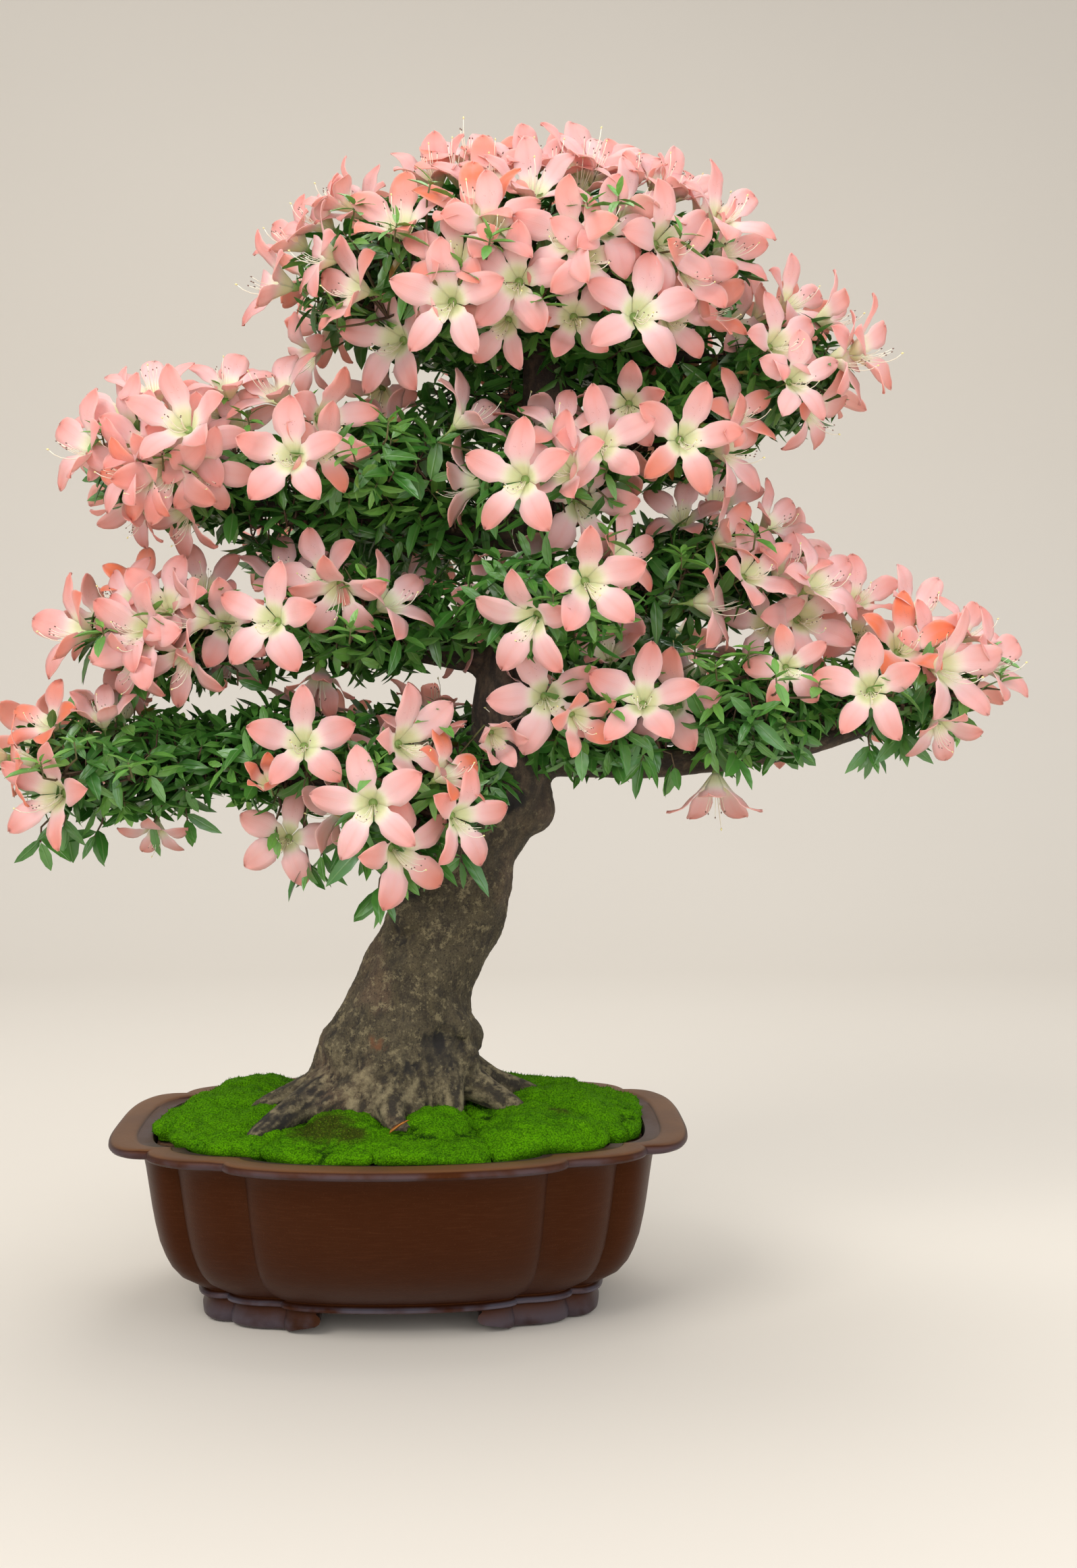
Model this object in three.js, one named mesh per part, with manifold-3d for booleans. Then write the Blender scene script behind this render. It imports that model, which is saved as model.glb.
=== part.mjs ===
// Satsuki azalea bonsai in a lobed stoneware pot: millimetres, +Z up, front towards -Y.
// Everything is built about the pot's middle, on the plane of its feet, and the whole
// tree is then moved so that the middle of its plan box is at the origin.
import * as THREE from 'three';
import { mergeVertices } from 'three/addons/utils/BufferGeometryUtils.js';
import Module from 'manifold-3d';

const wasm = await Module();
wasm.setup();

// ---------------------------------------------------------------- driving dimensions
const GAP = 0.3; // air kept between two pieces that rest on each other
const RIM_HALF_X = 220;
const RIM_HALF_Y = 166;
const POT_HEIGHT = 143;
const FOOT_HEIGHT = 17;
const FLOOR_Z = 31;
const SOIL_TOP = 134;
const FRONT_GAP_HALF = 58; // between the scroll tips of two feet, at the front and back
const END_GAP_HALF = 14; // and at the two ends
const DRAIN_X = 80;
const DRAIN_RADIUS = 12;
const SCREEN_SIDE = 30;
const SCREEN_THICK = 1.2;
const SCREEN_BAR = 2.25;
const WIRE_RADIUS = 0.8;
const WOOD_CLEARANCE = 0.45; // room left around wood that passes through another piece
const COROLLA_RADIUS = 33;
const FUNNEL_DEPTH = 24;
const PETALS = 5;

const COLOURS = {
  stoneware: { color: 0x3d2418, roughness: 0.45 },
  screen: { color: 0x24262a, roughness: 0.7 },
  wire: { color: 0x8a5a3a, roughness: 0.35, metalness: 0.8 },
  soil: { color: 0x4a3322, roughness: 0.95 },
  moss: { color: 0x3f7d12, roughness: 0.95 },
  bark: { color: 0x6b5c48, roughness: 0.9 },
  leaves: { color: 0x2c6a2c, roughness: 0.6 },
  petals: { color: 0xf6a893, roughness: 0.6 },
};

// ---------------------------------------------------------------- solids and meshes
function toSolid(geometry) {
  geometry.deleteAttribute('normal');
  geometry.deleteAttribute('uv');
  const merged = mergeVertices(geometry, 1e-4);
  const vertProperties = new Float32Array(merged.attributes.position.array);
  const triVerts = new Uint32Array(merged.index.array);
  return new wasm.Manifold(new wasm.Mesh({ numProp: 3, vertProperties, triVerts }));
}

function toGeometry(solid) {
  const mesh = solid.getMesh();
  const geometry = new THREE.BufferGeometry();
  const positions = new Float32Array(mesh.numVert * 3);
  for (let i = 0; i < mesh.numVert; i += 1) {
    for (let k = 0; k < 3; k += 1) {
      positions[3 * i + k] = mesh.vertProperties[i * mesh.numProp + k];
    }
  }
  geometry.setAttribute('position', new THREE.BufferAttribute(positions, 3));
  geometry.setIndex(new THREE.BufferAttribute(new Uint32Array(mesh.triVerts), 1));
  return geometry;
}

// Keeps the largest connected shell, where a cut leaves crumbs beside it.
function largestShell(geometry) {
  const index = geometry.index.array;
  const position = geometry.attributes.position;
  const parent = Array.from({ length: position.count }, (_, i) => i);
  const root = (i) => {
    let top = i;
    while (parent[top] !== top) {
      top = parent[top];
    }
    parent[i] = top;
    return top;
  };
  for (let t = 0; t < index.length; t += 3) {
    parent[root(index[t])] = root(index[t + 1]);
    parent[root(index[t + 1])] = root(index[t + 2]);
  }
  const spans = new Map();
  for (let t = 0; t < index.length; t += 3) {
    const key = root(index[t]);
    if (!spans.has(key)) {
      spans.set(key, { box: new THREE.Box3(), triangles: [] });
    }
    const span = spans.get(key);
    span.triangles.push(index[t], index[t + 1], index[t + 2]);
    span.box.expandByPoint(new THREE.Vector3().fromBufferAttribute(position, index[t]));
  }
  const size = (span) => span.box.getSize(new THREE.Vector3()).length();
  const largest = [...spans.values()].reduce((a, b) => (size(a) > size(b) ? a : b));
  geometry.setIndex(largest.triangles);
  return geometry;
}

const tree = new THREE.Group();

function addMesh(name, geometry, look) {
  geometry.computeVertexNormals();
  const mesh = new THREE.Mesh(geometry, new THREE.MeshStandardMaterial(COLOURS[look]));
  mesh.name = name;
  mesh.updateMatrixWorld();
  tree.add(mesh);
  return mesh;
}

// A closed skin through rings of equally many points, with a middle point at each end.
function skin(rings, firstMiddle, lastMiddle) {
  const count = rings[0].length;
  const points = [firstMiddle, ...rings.flat(), lastMiddle];
  const last = points.length - 1;
  const at = (ring, i) => 1 + ring * count + (i % count);
  const triangles = [];
  for (let i = 0; i < count; i += 1) {
    triangles.push(0, at(0, i + 1), at(0, i));
    for (let ring = 0; ring < rings.length - 1; ring += 1) {
      triangles.push(at(ring, i), at(ring, i + 1), at(ring + 1, i + 1));
      triangles.push(at(ring, i), at(ring + 1, i + 1), at(ring + 1, i));
    }
    triangles.push(last, at(rings.length - 1, i), at(rings.length - 1, i + 1));
  }
  const geometry = new THREE.BufferGeometry().setFromPoints(points);
  geometry.setIndex(triangles);
  return facingOut(geometry);
}

function facingOut(geometry) {
  const p = geometry.attributes.position;
  const index = geometry.index.array;
  const [a, b, c] = [new THREE.Vector3(), new THREE.Vector3(), new THREE.Vector3()];
  let volume = 0;
  for (let t = 0; t < index.length; t += 3) {
    a.fromBufferAttribute(p, index[t]);
    b.fromBufferAttribute(p, index[t + 1]);
    c.fromBufferAttribute(p, index[t + 2]);
    volume += a.dot(b.cross(c));
  }
  if (volume < 0) {
    geometry.setIndex(Array.from(index).reverse());
  }
  return geometry;
}

// ---------------------------------------------------------------- pot
// The outline has eight lobes: a broad one on each side and a small one at each corner.
const NOTCH_END = { x: 0.831, y: 0.584 }; // between an end lobe and a corner lobe
const NOTCH_FRONT = { x: 0.56, y: 0.806 }; // between a corner lobe and a front lobe
const LOBE_STEPS = { end: 3, corner: 4, front: 3 };

function quarterOutline() {
  const points = [];
  for (let i = 0; i < LOBE_STEPS.end; i += 1) {
    const t = i / LOBE_STEPS.end;
    const swell = (1 - t ** 3) ** (1 / 3);
    points.push([NOTCH_END.x + (1 - NOTCH_END.x) * swell, NOTCH_END.y * t]);
  }
  for (let i = 0; i < LOBE_STEPS.corner; i += 1) {
    const angle = (Math.PI / 2) * (i / (LOBE_STEPS.corner - 1));
    const x = NOTCH_FRONT.x + 0.03 + (NOTCH_END.x - NOTCH_FRONT.x - 0.03) * Math.cos(angle);
    const y = NOTCH_END.y + (NOTCH_FRONT.y - NOTCH_END.y - 0.02) * Math.sin(angle);
    points.push([x, y]);
  }
  for (let i = 0; i <= LOBE_STEPS.front; i += 1) {
    const t = 1 - i / LOBE_STEPS.front;
    const swell = Math.sqrt(1 - t * t);
    points.push([NOTCH_FRONT.x * t, NOTCH_FRONT.y + (1 - NOTCH_FRONT.y) * swell]);
  }
  return points;
}

const QUARTER = quarterOutline();
const OUTLINE = [
  ...QUARTER,
  ...QUARTER.slice(0, -1).reverse().map(([x, y]) => [-x, y]),
  ...QUARTER.slice(1).map(([x, y]) => [-x, -y]),
  ...QUARTER.slice(1, -1).reverse().map(([x, y]) => [x, -y]),
];

function lobedRing([z, halfX, halfY]) {
  return OUTLINE.map(([x, y]) => new THREE.Vector3(x * halfX, y * halfY, z));
}

function lobedSolid(sections) {
  const first = new THREE.Vector3(0, 0, sections[0][0]);
  const last = new THREE.Vector3(0, 0, sections[sections.length - 1][0]);
  return toSolid(skin(sections.map(lobedRing), first, last));
}

// Each section is [height, half width, half depth], from the floor of the cavity up.
const CAVITY = [
  [FLOOR_Z, 136, 80],
  [40, 156, 98],
  [60, 173, 119],
  [100, 183, 133],
  [POT_HEIGHT - 2, 187, 137],
];

const POT_OUTSIDE = [
  [FOOT_HEIGHT, 134, 73],
  [0, 135, 74],
  [0, 150, 90],
  [3, 153, 93],
  [FOOT_HEIGHT, 151, 91],
  [20.5, 156, 96],
  [24, 153, 93],
  [26, 157, 97],
  [35, 171, 110],
  [51, 180, 124],
  [77, 187, 136],
  [105, 191, 143],
  [132, 195, 147],
  [135, RIM_HALF_X - 4, RIM_HALF_Y - 4],
  [138, RIM_HALF_X, RIM_HALF_Y],
  [POT_HEIGHT, RIM_HALF_X - 2, RIM_HALF_Y - 2],
  [POT_HEIGHT, RIM_HALF_X - 20, RIM_HALF_Y - 20],
];

// The cavity's section at a height over its third section, level beyond the rim.
function cavityAt(z) {
  const upper = CAVITY.findIndex((section) => section[0] >= z);
  if (upper < 0) {
    return [z, ...CAVITY[CAVITY.length - 1].slice(1)];
  }
  const [below, above] = [CAVITY[upper - 1], CAVITY[upper]];
  const mix = (z - below[0]) / (above[0] - below[0]);
  return below.map((value, k) => value + (above[k] - value) * mix);
}

function cavitySolid(clearance, topZ) {
  const sections = CAVITY.filter((section) => section[0] < topZ);
  const inner = [...sections, cavityAt(topZ)].map(([z, x, y]) => [z, x - clearance, y - clearance]);
  inner[0][0] += clearance > 0 ? GAP : 0;
  return lobedSolid(inner);
}

// The gap between two cloud feet, seen from the front or from the end.
const FOOT_SCROLL = [
  [24, -1],
  [23, 2.5],
  [14, 5.5],
  [3, 8],
  [0, 11],
  [3, FOOT_HEIGHT + 0.01],
];

function footGap(halfWidth, along) {
  const right = FOOT_SCROLL.map(([x, z]) => new THREE.Vector2(halfWidth + x, z));
  const left = FOOT_SCROLL.map(([x, z]) => new THREE.Vector2(-halfWidth - x, z)).reverse();
  const shape = new THREE.Shape([...right, ...left]);
  const geometry = new THREE.ExtrudeGeometry(shape, { depth: 400, bevelEnabled: false });
  geometry.translate(0, 0, -200);
  geometry.rotateX(Math.PI / 2);
  if (along === 'x') {
    geometry.rotateZ(Math.PI / 2);
  }
  return toSolid(geometry);
}

function drainHoleSolid(x) {
  const height = 2 * (FLOOR_Z - FOOT_HEIGHT);
  const geometry = new THREE.CylinderGeometry(DRAIN_RADIUS, DRAIN_RADIUS, height, 20);
  geometry.rotateX(Math.PI / 2);
  geometry.translate(x, 0, (FLOOR_Z + FOOT_HEIGHT) / 2);
  return toSolid(geometry);
}

function buildPot() {
  let pot = lobedSolid(POT_OUTSIDE).subtract(cavitySolid(0, POT_HEIGHT + 5));
  pot = pot.subtract(footGap(FRONT_GAP_HALF, 'y')).subtract(footGap(END_GAP_HALF, 'x'));
  for (const side of [-1, 1]) {
    const hole = drainHoleSolid(side * DRAIN_X);
    pot = pot.subtract(hole);
  }
  addMesh('pot', toGeometry(pot), 'stoneware');
}

// ---------------------------------------------------------------- limbs and roots
// A tapering limb through [x, y, z, radius] stations, rounded off at both ends.
function limb(stations, sides, steps, extra = 0, wobble = 0) {
  const points = stations.map(([x, y, z]) => new THREE.Vector3(x, y, z));
  const curve = new THREE.CatmullRomCurve3(points, false, 'centripetal');
  const frames = curve.computeFrenetFrames(steps, false);
  const rings = [];
  for (let i = 0; i <= steps; i += 1) {
    const t = i / steps;
    const place = t * (stations.length - 1);
    const low = Math.min(Math.floor(place), stations.length - 2);
    const mix = place - low;
    const radius = stations[low][3] * (1 - mix) + stations[low + 1][3] * mix + extra;
    const middle = curve.getPoint(t);
    const ring = [];
    for (let k = 0; k < sides; k += 1) {
      const angle = (2 * Math.PI * k) / sides;
      const flute = 1 + wobble * Math.sin(3 * angle + 5 * t) * Math.cos(2 * angle + 3 * t);
      const offset = frames.normals[i].clone().multiplyScalar(Math.cos(angle));
      offset.addScaledVector(frames.binormals[i], Math.sin(angle));
      ring.push(middle.clone().addScaledVector(offset, radius * flute));
    }
    rings.push(ring);
  }
  const cap = (i, sign) => {
    const end = curve.getPoint(i / steps);
    const reach = stations[i === 0 ? 0 : stations.length - 1][3] * 0.5 + extra;
    return end.addScaledVector(frames.tangents[i], sign * reach);
  };
  return skin(rings, cap(0, -1), cap(steps, 1));
}

function knob(x, y, z, radius, extra) {
  const geometry = new THREE.SphereGeometry(radius + extra, 8, 6);
  geometry.scale(1, 0.85, 1.1);
  geometry.translate(x, y, z);
  return geometry;
}

const TRUNK = [
  [-20, 0, 112, 52],
  [-14, 0, 150, 66],
  [-9, 0, 176, 63],
  [-5, 0, 198, 58],
  [4, 0, 224, 53],
  [12, 0, 251, 46],
  [25, 0, 277, 43],
  [40, 0, 303, 41],
  [51, 0, 330, 37],
  [57, 0, 356, 34],
  [70, 0, 382, 35],
  [82, -4, 409, 33],
  [83, -2, 440, 29],
  [80, 0, 472, 25],
  [84, 4, 506, 22.5],
  [95, 6, 560, 21.5],
  [104, 4, 620, 20.5],
  [110, 0, 677, 19.5],
  [113, -4, 719, 18],
  [108, -6, 751, 14],
  [100, -4, 785, 9],
  [94, 0, 822, 5],
];

const KNOBS = [
  [99, -6, 386, 21],
  [-4, -14, 302, 22],
  [38, 14, 392, 18],
];

const ROOTS = [
  [[-30, -8, 196, 26], [-50, -22, 176, 16], [-82, -60, 163, 12], [-108, -97, 151, 6]],
  [[-30, 4, 190, 24], [-62, -8, 172, 13], [-100, -24, 160, 8], [-124, -32, 148, 4]],
  [[-20, -20, 190, 24], [-30, -42, 168, 11], [-33, -62, 153, 5]],
  [[0, -20, 192, 26], [-8, -50, 171, 13], [-6, -76, 154, 6]],
  [[20, -8, 192, 26], [56, -22, 173, 13], [84, -32, 161, 8], [97, -42, 149, 4]],
  [[26, 6, 190, 24], [60, 10, 174, 12], [96, 18, 160, 7], [116, 26, 149, 4]],
  [[-20, 16, 188, 24], [-44, 42, 168, 13], [-86, 72, 154, 6]],
  [[16, 16, 190, 24], [28, 48, 168, 12], [40, 96, 152, 6]],
];

const BRANCHES = [
  // tier by tier from the lowest, each branch with its forks after it
  [[84, -2, 428, 19], [130, -14, 424, 15], [215, -18, 422, 12], [320, -12, 436, 9], [396, -6, 462, 5]],
  [[150, -16, 424, 9], [144, -40, 440, 6], [140, -62, 450, 4]],
  [[270, -15, 430, 7], [276, -40, 446, 5], [270, -60, 458, 3]],
  [[340, -10, 440, 6], [386, -34, 460, 4], [410, -44, 474, 3]],
  [[82, 0, 436, 17], [40, -10, 422, 13], [-30, -15, 414, 10], [-120, -15, 410, 8], [-236, -18, 412, 4]],
  [[40, -10, 422, 10], [24, -50, 404, 7], [8, -92, 394, 4]],
  [[82, 2, 494, 15], [40, 4, 504, 11], [-40, 0, 512, 9], [-130, 0, 510, 7], [-204, 0, 512, 3.5]],
  [[100, 4, 590, 16], [50, 0, 604, 12], [0, 0, 612, 10], [-90, 0, 616, 8], [-192, 0, 630, 4]],
  [[-60, 0, 614, 7], [-56, -30, 628, 5], [-50, -52, 640, 3]],
  [[90, 5, 540, 13], [140, 12, 554, 9], [200, 20, 564, 7], [258, 20, 572, 4]],
  [[108, 0, 650, 12], [150, -8, 660, 8], [195, -15, 668, 6], [228, -18, 676, 3.5]],
  [[106, -6, 625, 12], [110, -40, 630, 7], [114, -80, 636, 3.5]],
  [[92, -6, 540, 13], [104, -42, 544, 7], [112, -86, 548, 3.5]],
  [[112, -4, 730, 12], [70, -5, 744, 8], [20, -3, 758, 6], [-32, 0, 772, 3.5]],
  [[113, -4, 722, 12], [155, -3, 730, 9], [215, 0, 732, 6], [292, 0, 726, 3.5]],
  [[112, -6, 735, 10], [106, -46, 748, 6], [96, -88, 762, 3.5]],
  [[110, -2, 740, 10], [106, 46, 756, 6], [96, 92, 772, 3.5]],
  [[100, 8, 596, 12], [50, 60, 592, 8], [-30, 122, 588, 4]],
  [[90, 8, 522, 12], [122, 66, 520, 8], [148, 118, 520, 4]],
  [[82, 6, 450, 13], [60, 60, 438, 8], [26, 104, 432, 4]],
];

function woodSolid(extra) {
  let wood = toSolid(limb(TRUNK, 12, 19, extra, 0.09));
  for (const [x, y, z, radius] of KNOBS) {
    wood = wood.add(toSolid(knob(x, y, z, radius, extra)));
  }
  for (const stations of ROOTS) {
    wood = wood.add(toSolid(limb(stations, 6, 4, extra, 0.05)));
  }
  for (const stations of BRANCHES) {
    const steps = stations.length > 3 ? 6 : 3;
    wood = wood.add(toSolid(limb(stations, 5, steps, extra)));
  }
  return wood;
}

// ---------------------------------------------------------------- soil and drainage
function boxSolid(width, depth, height, x, y, z) {
  const geometry = new THREE.BoxGeometry(width, depth, height);
  geometry.translate(x, y, z);
  return toSolid(geometry);
}

function buildSoil(woodRoom) {
  const [recessWidth, recessDepth, recessHeight] = [SCREEN_SIDE + 12, SCREEN_SIDE + 4, 5];
  let soil = cavitySolid(0.6, SOIL_TOP).subtract(woodRoom);
  for (const side of [-1, 1]) {
    const middle = FLOOR_Z + recessHeight / 2;
    const recess = boxSolid(recessWidth, recessDepth, recessHeight, side * DRAIN_X, 0, middle);
    soil = soil.subtract(recess);
  }
  addMesh('soil', largestShell(toGeometry(soil)), 'soil');
}

const SCREEN_HOLES = 3;
const SCREEN_PITCH = (SCREEN_SIDE - SCREEN_BAR) / SCREEN_HOLES;

function buildDrainScreen(name, x) {
  const z = FLOOR_Z + GAP + SCREEN_THICK / 2;
  let screen = null;
  for (let i = 0; i <= SCREEN_HOLES; i += 1) {
    const offset = i * SCREEN_PITCH - (SCREEN_SIDE - SCREEN_BAR) / 2;
    const across = boxSolid(SCREEN_SIDE, SCREEN_BAR, SCREEN_THICK, x, offset, z);
    const woven = SCREEN_SIDE - 0.1;
    const along = boxSolid(SCREEN_BAR, woven, SCREEN_THICK * 0.8, x + offset, 0, z);
    screen = screen === null ? across.add(along) : screen.add(across).add(along);
  }
  addMesh(name, toGeometry(screen), 'screen');
}

// A wire staple: a bar across the screen, two legs down the drain hole, feet bent outwards.
function buildScreenClip(name, x) {
  const barZ = FLOOR_Z + GAP + SCREEN_THICK + GAP + WIRE_RADIUS;
  const footZ = FOOT_HEIGHT - GAP - WIRE_RADIUS;
  const leg = SCREEN_PITCH;
  const foot = DRAIN_RADIUS + 8;
  const bend = 1.5;
  const half = [
    [foot, footZ],
    [leg + bend, footZ],
    [leg, footZ + bend],
    [leg, barZ - bend],
    [leg - bend, barZ],
  ];
  const right = half.map(([across, z]) => [x + across, 0, z, WIRE_RADIUS]);
  const left = half.map(([across, z]) => [x - across, 0, z, WIRE_RADIUS]).reverse();
  addMesh(name, toGeometry(toSolid(limb([...right, ...left], 5, 18))), 'wire');
}

// ---------------------------------------------------------------- moss
// Cushions by name with [x, y, how far the crown stands over the wall's edge].
const CUSHIONS = {
  moss_left: [-152, 2, 15],
  moss_left_front: [-122, -74, 7],
  moss_dark_front: [-52, -98, 13],
  moss_front: [20, -104, 10],
  moss_right_front: [104, -84, 13],
  moss_right: [150, -6, 17],
  moss_back_right: [92, 74, 20],
  moss_back: [0, 92, 18],
  moss_back_left: [-92, 74, 16],
};
const MOSS_SPOKES = 14;
const MOSS_RINGS = 3;
const MOSS_EDGE_Z = POT_HEIGHT - 1;
const MOSS_DOME = 12; // rise of the whole moss bed from the wall to the trunk
const MOSS_SIDE_GAP = 0.4;

// How far [x, y] is out from the middle of the cavity, 1 on a smooth oval inside its wall.
function wallShare(x, y) {
  return Math.hypot(x / 182, y / 133);
}

function cushionReach(centre, others, angle) {
  const [dx, dy] = [Math.cos(angle), Math.sin(angle)];
  let reach = 200;
  for (const other of others) {
    const [ox, oy] = [other[0] - centre[0], other[1] - centre[1]];
    const along = (dx * ox + dy * oy) / Math.hypot(ox, oy);
    if (along > 1e-3) {
      const toBisector = Math.hypot(ox, oy) / 2 - MOSS_SIDE_GAP;
      reach = Math.min(reach, toBisector / along);
    }
  }
  while (wallShare(centre[0] + dx * reach, centre[1] + dy * reach) > 1.06) {
    reach -= 1;
  }
  return reach;
}

function buildCushion(name, woodRoom, wallRoom) {
  const centre = CUSHIONS[name];
  const others = Object.values(CUSHIONS).filter((other) => other !== centre);
  const bottom = SOIL_TOP + GAP;
  const rings = [];
  const floorRing = [];
  for (let k = 0; k < MOSS_RINGS; k += 1) {
    rings.push([]);
  }
  for (let i = 0; i < MOSS_SPOKES; i += 1) {
    const angle = (2 * Math.PI * i) / MOSS_SPOKES;
    const reach = cushionReach(centre, others, angle);
    for (let k = 0; k < MOSS_RINGS; k += 1) {
      const share = (k + 1) / MOSS_RINGS;
      const x = centre[0] + Math.cos(angle) * reach * share;
      const y = centre[1] + Math.sin(angle) * reach * share;
      const dome = MOSS_DOME * (1 - Math.min(1, wallShare(x, y)) ** 3);
      const lump = 1.2 * Math.sin(0.13 * x + 1.7) * Math.cos(0.15 * y);
      const z = MOSS_EDGE_Z + dome + lump + centre[2] * 0.5 * (1 - share ** 2.4);
      rings[MOSS_RINGS - 1 - k].push(new THREE.Vector3(x, y, z));
      if (k === MOSS_RINGS - 1) {
        floorRing.push(new THREE.Vector3(x, y, bottom));
      }
    }
  }
  const crown = new THREE.Vector3(centre[0], centre[1], 0);
  crown.z = rings[MOSS_RINGS - 1].reduce((sum, p) => sum + p.z, 0) / MOSS_SPOKES + 0.4;
  const under = new THREE.Vector3(centre[0], centre[1], bottom);
  const cushion = toSolid(skin([floorRing, ...rings], under, crown));
  const fitted = cushion.intersect(wallRoom).subtract(woodRoom);
  addMesh(name, largestShell(toGeometry(fitted)), 'moss');
}

// ---------------------------------------------------------------- foliage
// Leaf pads by name: middle [x, y, z] and radii [across, deep, up, down].
const PADS = {
  leaves_crown: [95, 0, 770, 165, 145, 84, 38],
  leaves_crown_right: [292, 0, 722, 44, 78, 38, 34],
  leaves_right_upper: [205, -15, 670, 57, 75, 36, 30],
  leaves_third_outer: [-162, 0, 638, 60, 82, 38, 26],
  leaves_third_inner: [-18, -5, 640, 74, 85, 44, 32],
  leaves_centre_upper: [112, -78, 632, 52, 46, 42, 34],
  leaves_centre_lower: [112, -80, 545, 56, 46, 36, 34],
  leaves_right_mid: [234, 18, 570, 74, 78, 38, 30],
  leaves_second_outer: [-174, 0, 514, 57, 76, 34, 24],
  leaves_second_inner: [-36, -5, 524, 70, 80, 40, 28],
  leaves_low_outer: [-216, -20, 418, 70, 70, 46, 28],
  leaves_low_inner: [-78, -20, 420, 60, 70, 48, 28],
  leaves_front_low: [12, -96, 400, 50, 46, 42, 36],
  leaves_lower_right_inner: [142, -38, 450, 50, 62, 28, 26],
  leaves_lower_right_middle: [262, -20, 460, 58, 70, 42, 30],
  leaves_lower_right_outer: [384, -10, 478, 54, 64, 34, 28],
  leaves_back_left: [-42, 136, 588, 82, 46, 38, 28],
  leaves_back_right: [150, 132, 518, 82, 46, 38, 28],
  leaves_back_low: [16, 116, 430, 70, 50, 32, 26],
};
const LUMP = 0.06;

function padGeometry([x, y, z, across, deep, up, down]) {
  const broad = across > 100;
  const geometry = new THREE.SphereGeometry(1, broad ? 18 : 12, broad ? 10 : 7);
  geometry.rotateX(Math.PI / 2);
  const position = geometry.attributes.position;
  const p = new THREE.Vector3();
  for (let i = 0; i < position.count; i += 1) {
    p.fromBufferAttribute(position, i);
    const swell = Math.sin(4.1 * p.x + 0.02 * x) * Math.cos(3.7 * p.y + 0.03 * z) + Math.sin(5 * p.z);
    const size = 1 + LUMP * 0.5 * swell;
    p.set(p.x * across * size, p.y * deep * size, p.z * (p.z > 0 ? up : down) * size);
    position.setXYZ(i, p.x + x, p.y + y, p.z + z);
  }
  return geometry;
}

function buildPad(name, woodRoom) {
  const solid = toSolid(padGeometry(PADS[name])).subtract(woodRoom);
  return addMesh(name, largestShell(toGeometry(solid)), 'leaves');
}

// ---------------------------------------------------------------- flowers
// Each flower: its pad, the middle of its mouth, and where it looks as [turn, tilt] in
// degrees: turn 0 faces the front, 90 the right, and tilt is upwards.
const FLOWERS = [
  ['crown', [55, -60, 870], [-10, 68]],
  ['crown', [136, -74, 857], [28, 50]],
  ['crown', [38, -160, 742], [-12, -8]],
  ['crown', [-90, -50, 776], [-70, 10]],
  ['crown', [172, -152, 738], [14, 4]],
  ['crown', [225, -80, 806], [38, 34]],
  ['crown_right', [346, -60, 728], [62, 8]],
  ['right_upper', [206, -122, 655], [8, -2]],
  ['third_outer', [-150, -116, 668], [-14, 22]],
  ['third_outer', [-218, -60, 652], [-56, 14]],
  ['third_inner', [-74, -120, 642], [-14, 6]],
  ['centre_upper', [86, -158, 622], [-20, -4]],
  ['centre_lower', [136, -158, 552], [8, -4]],
  ['second_inner', [-90, -112, 528], [-18, 6]],
  ['second_outer', [-230, -56, 520], [-58, 10]],
  ['right_mid', [318, -52, 560], [40, 26]],
  ['lower_right_inner', [176, -118, 472], [-8, 18]],
  ['lower_right_outer', [344, -100, 478], [-12, 6]],
  ['lower_right_outer', [452, -44, 500], [56, 18]],
  ['lower_right_middle', [238, -50, 396], [-10, -76]],
  ['low_inner', [-66, -112, 440], [0, 14]],
  ['front_low', [-16, -168, 398], [-6, -4]],
  ['low_outer', [-298, -60, 428], [-66, 6]],
  ['back_left', [-70, 206, 606], [186, 22]],
  ['back_right', [190, 202, 536], [168, 20]],
];
const PEDICEL_RADIUS = 1.3;
const PETAL_THICKNESS = 1.2;
const SEAT_GAP = 0.45;
const SHORTEST_PEDICEL = 6;

function lookingAlong(turn, tilt) {
  const [a, b] = [THREE.MathUtils.degToRad(turn), THREE.MathUtils.degToRad(tilt)];
  return new THREE.Vector3(Math.sin(a) * Math.cos(b), -Math.cos(a) * Math.cos(b), Math.sin(b));
}

// Rings of ten points around a flower's axis: petal tips and the valleys between them.
function flowerRing(middle, axis, tipRadius, valleyRadius) {
  const side = new THREE.Vector3(0, 0, 1).cross(axis);
  if (side.lengthSq() < 1e-3) {
    side.set(1, 0, 0);
  }
  side.normalize();
  const up = axis.clone().cross(side);
  return Array.from({ length: 2 * PETALS }, (_, i) => {
    const angle = Math.PI / 2 + (Math.PI * i) / PETALS;
    const radius = i % 2 === 0 ? tipRadius : valleyRadius;
    const point = middle.clone().addScaledVector(side, radius * Math.cos(angle));
    return point.addScaledVector(up, radius * Math.sin(angle));
  });
}

// Where a ray meets a pad's leaves, or nothing.
function touchOn(pad, from, direction) {
  const [hit] = new THREE.Raycaster(from, direction).intersectObject(pad);
  return hit?.point;
}

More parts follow.
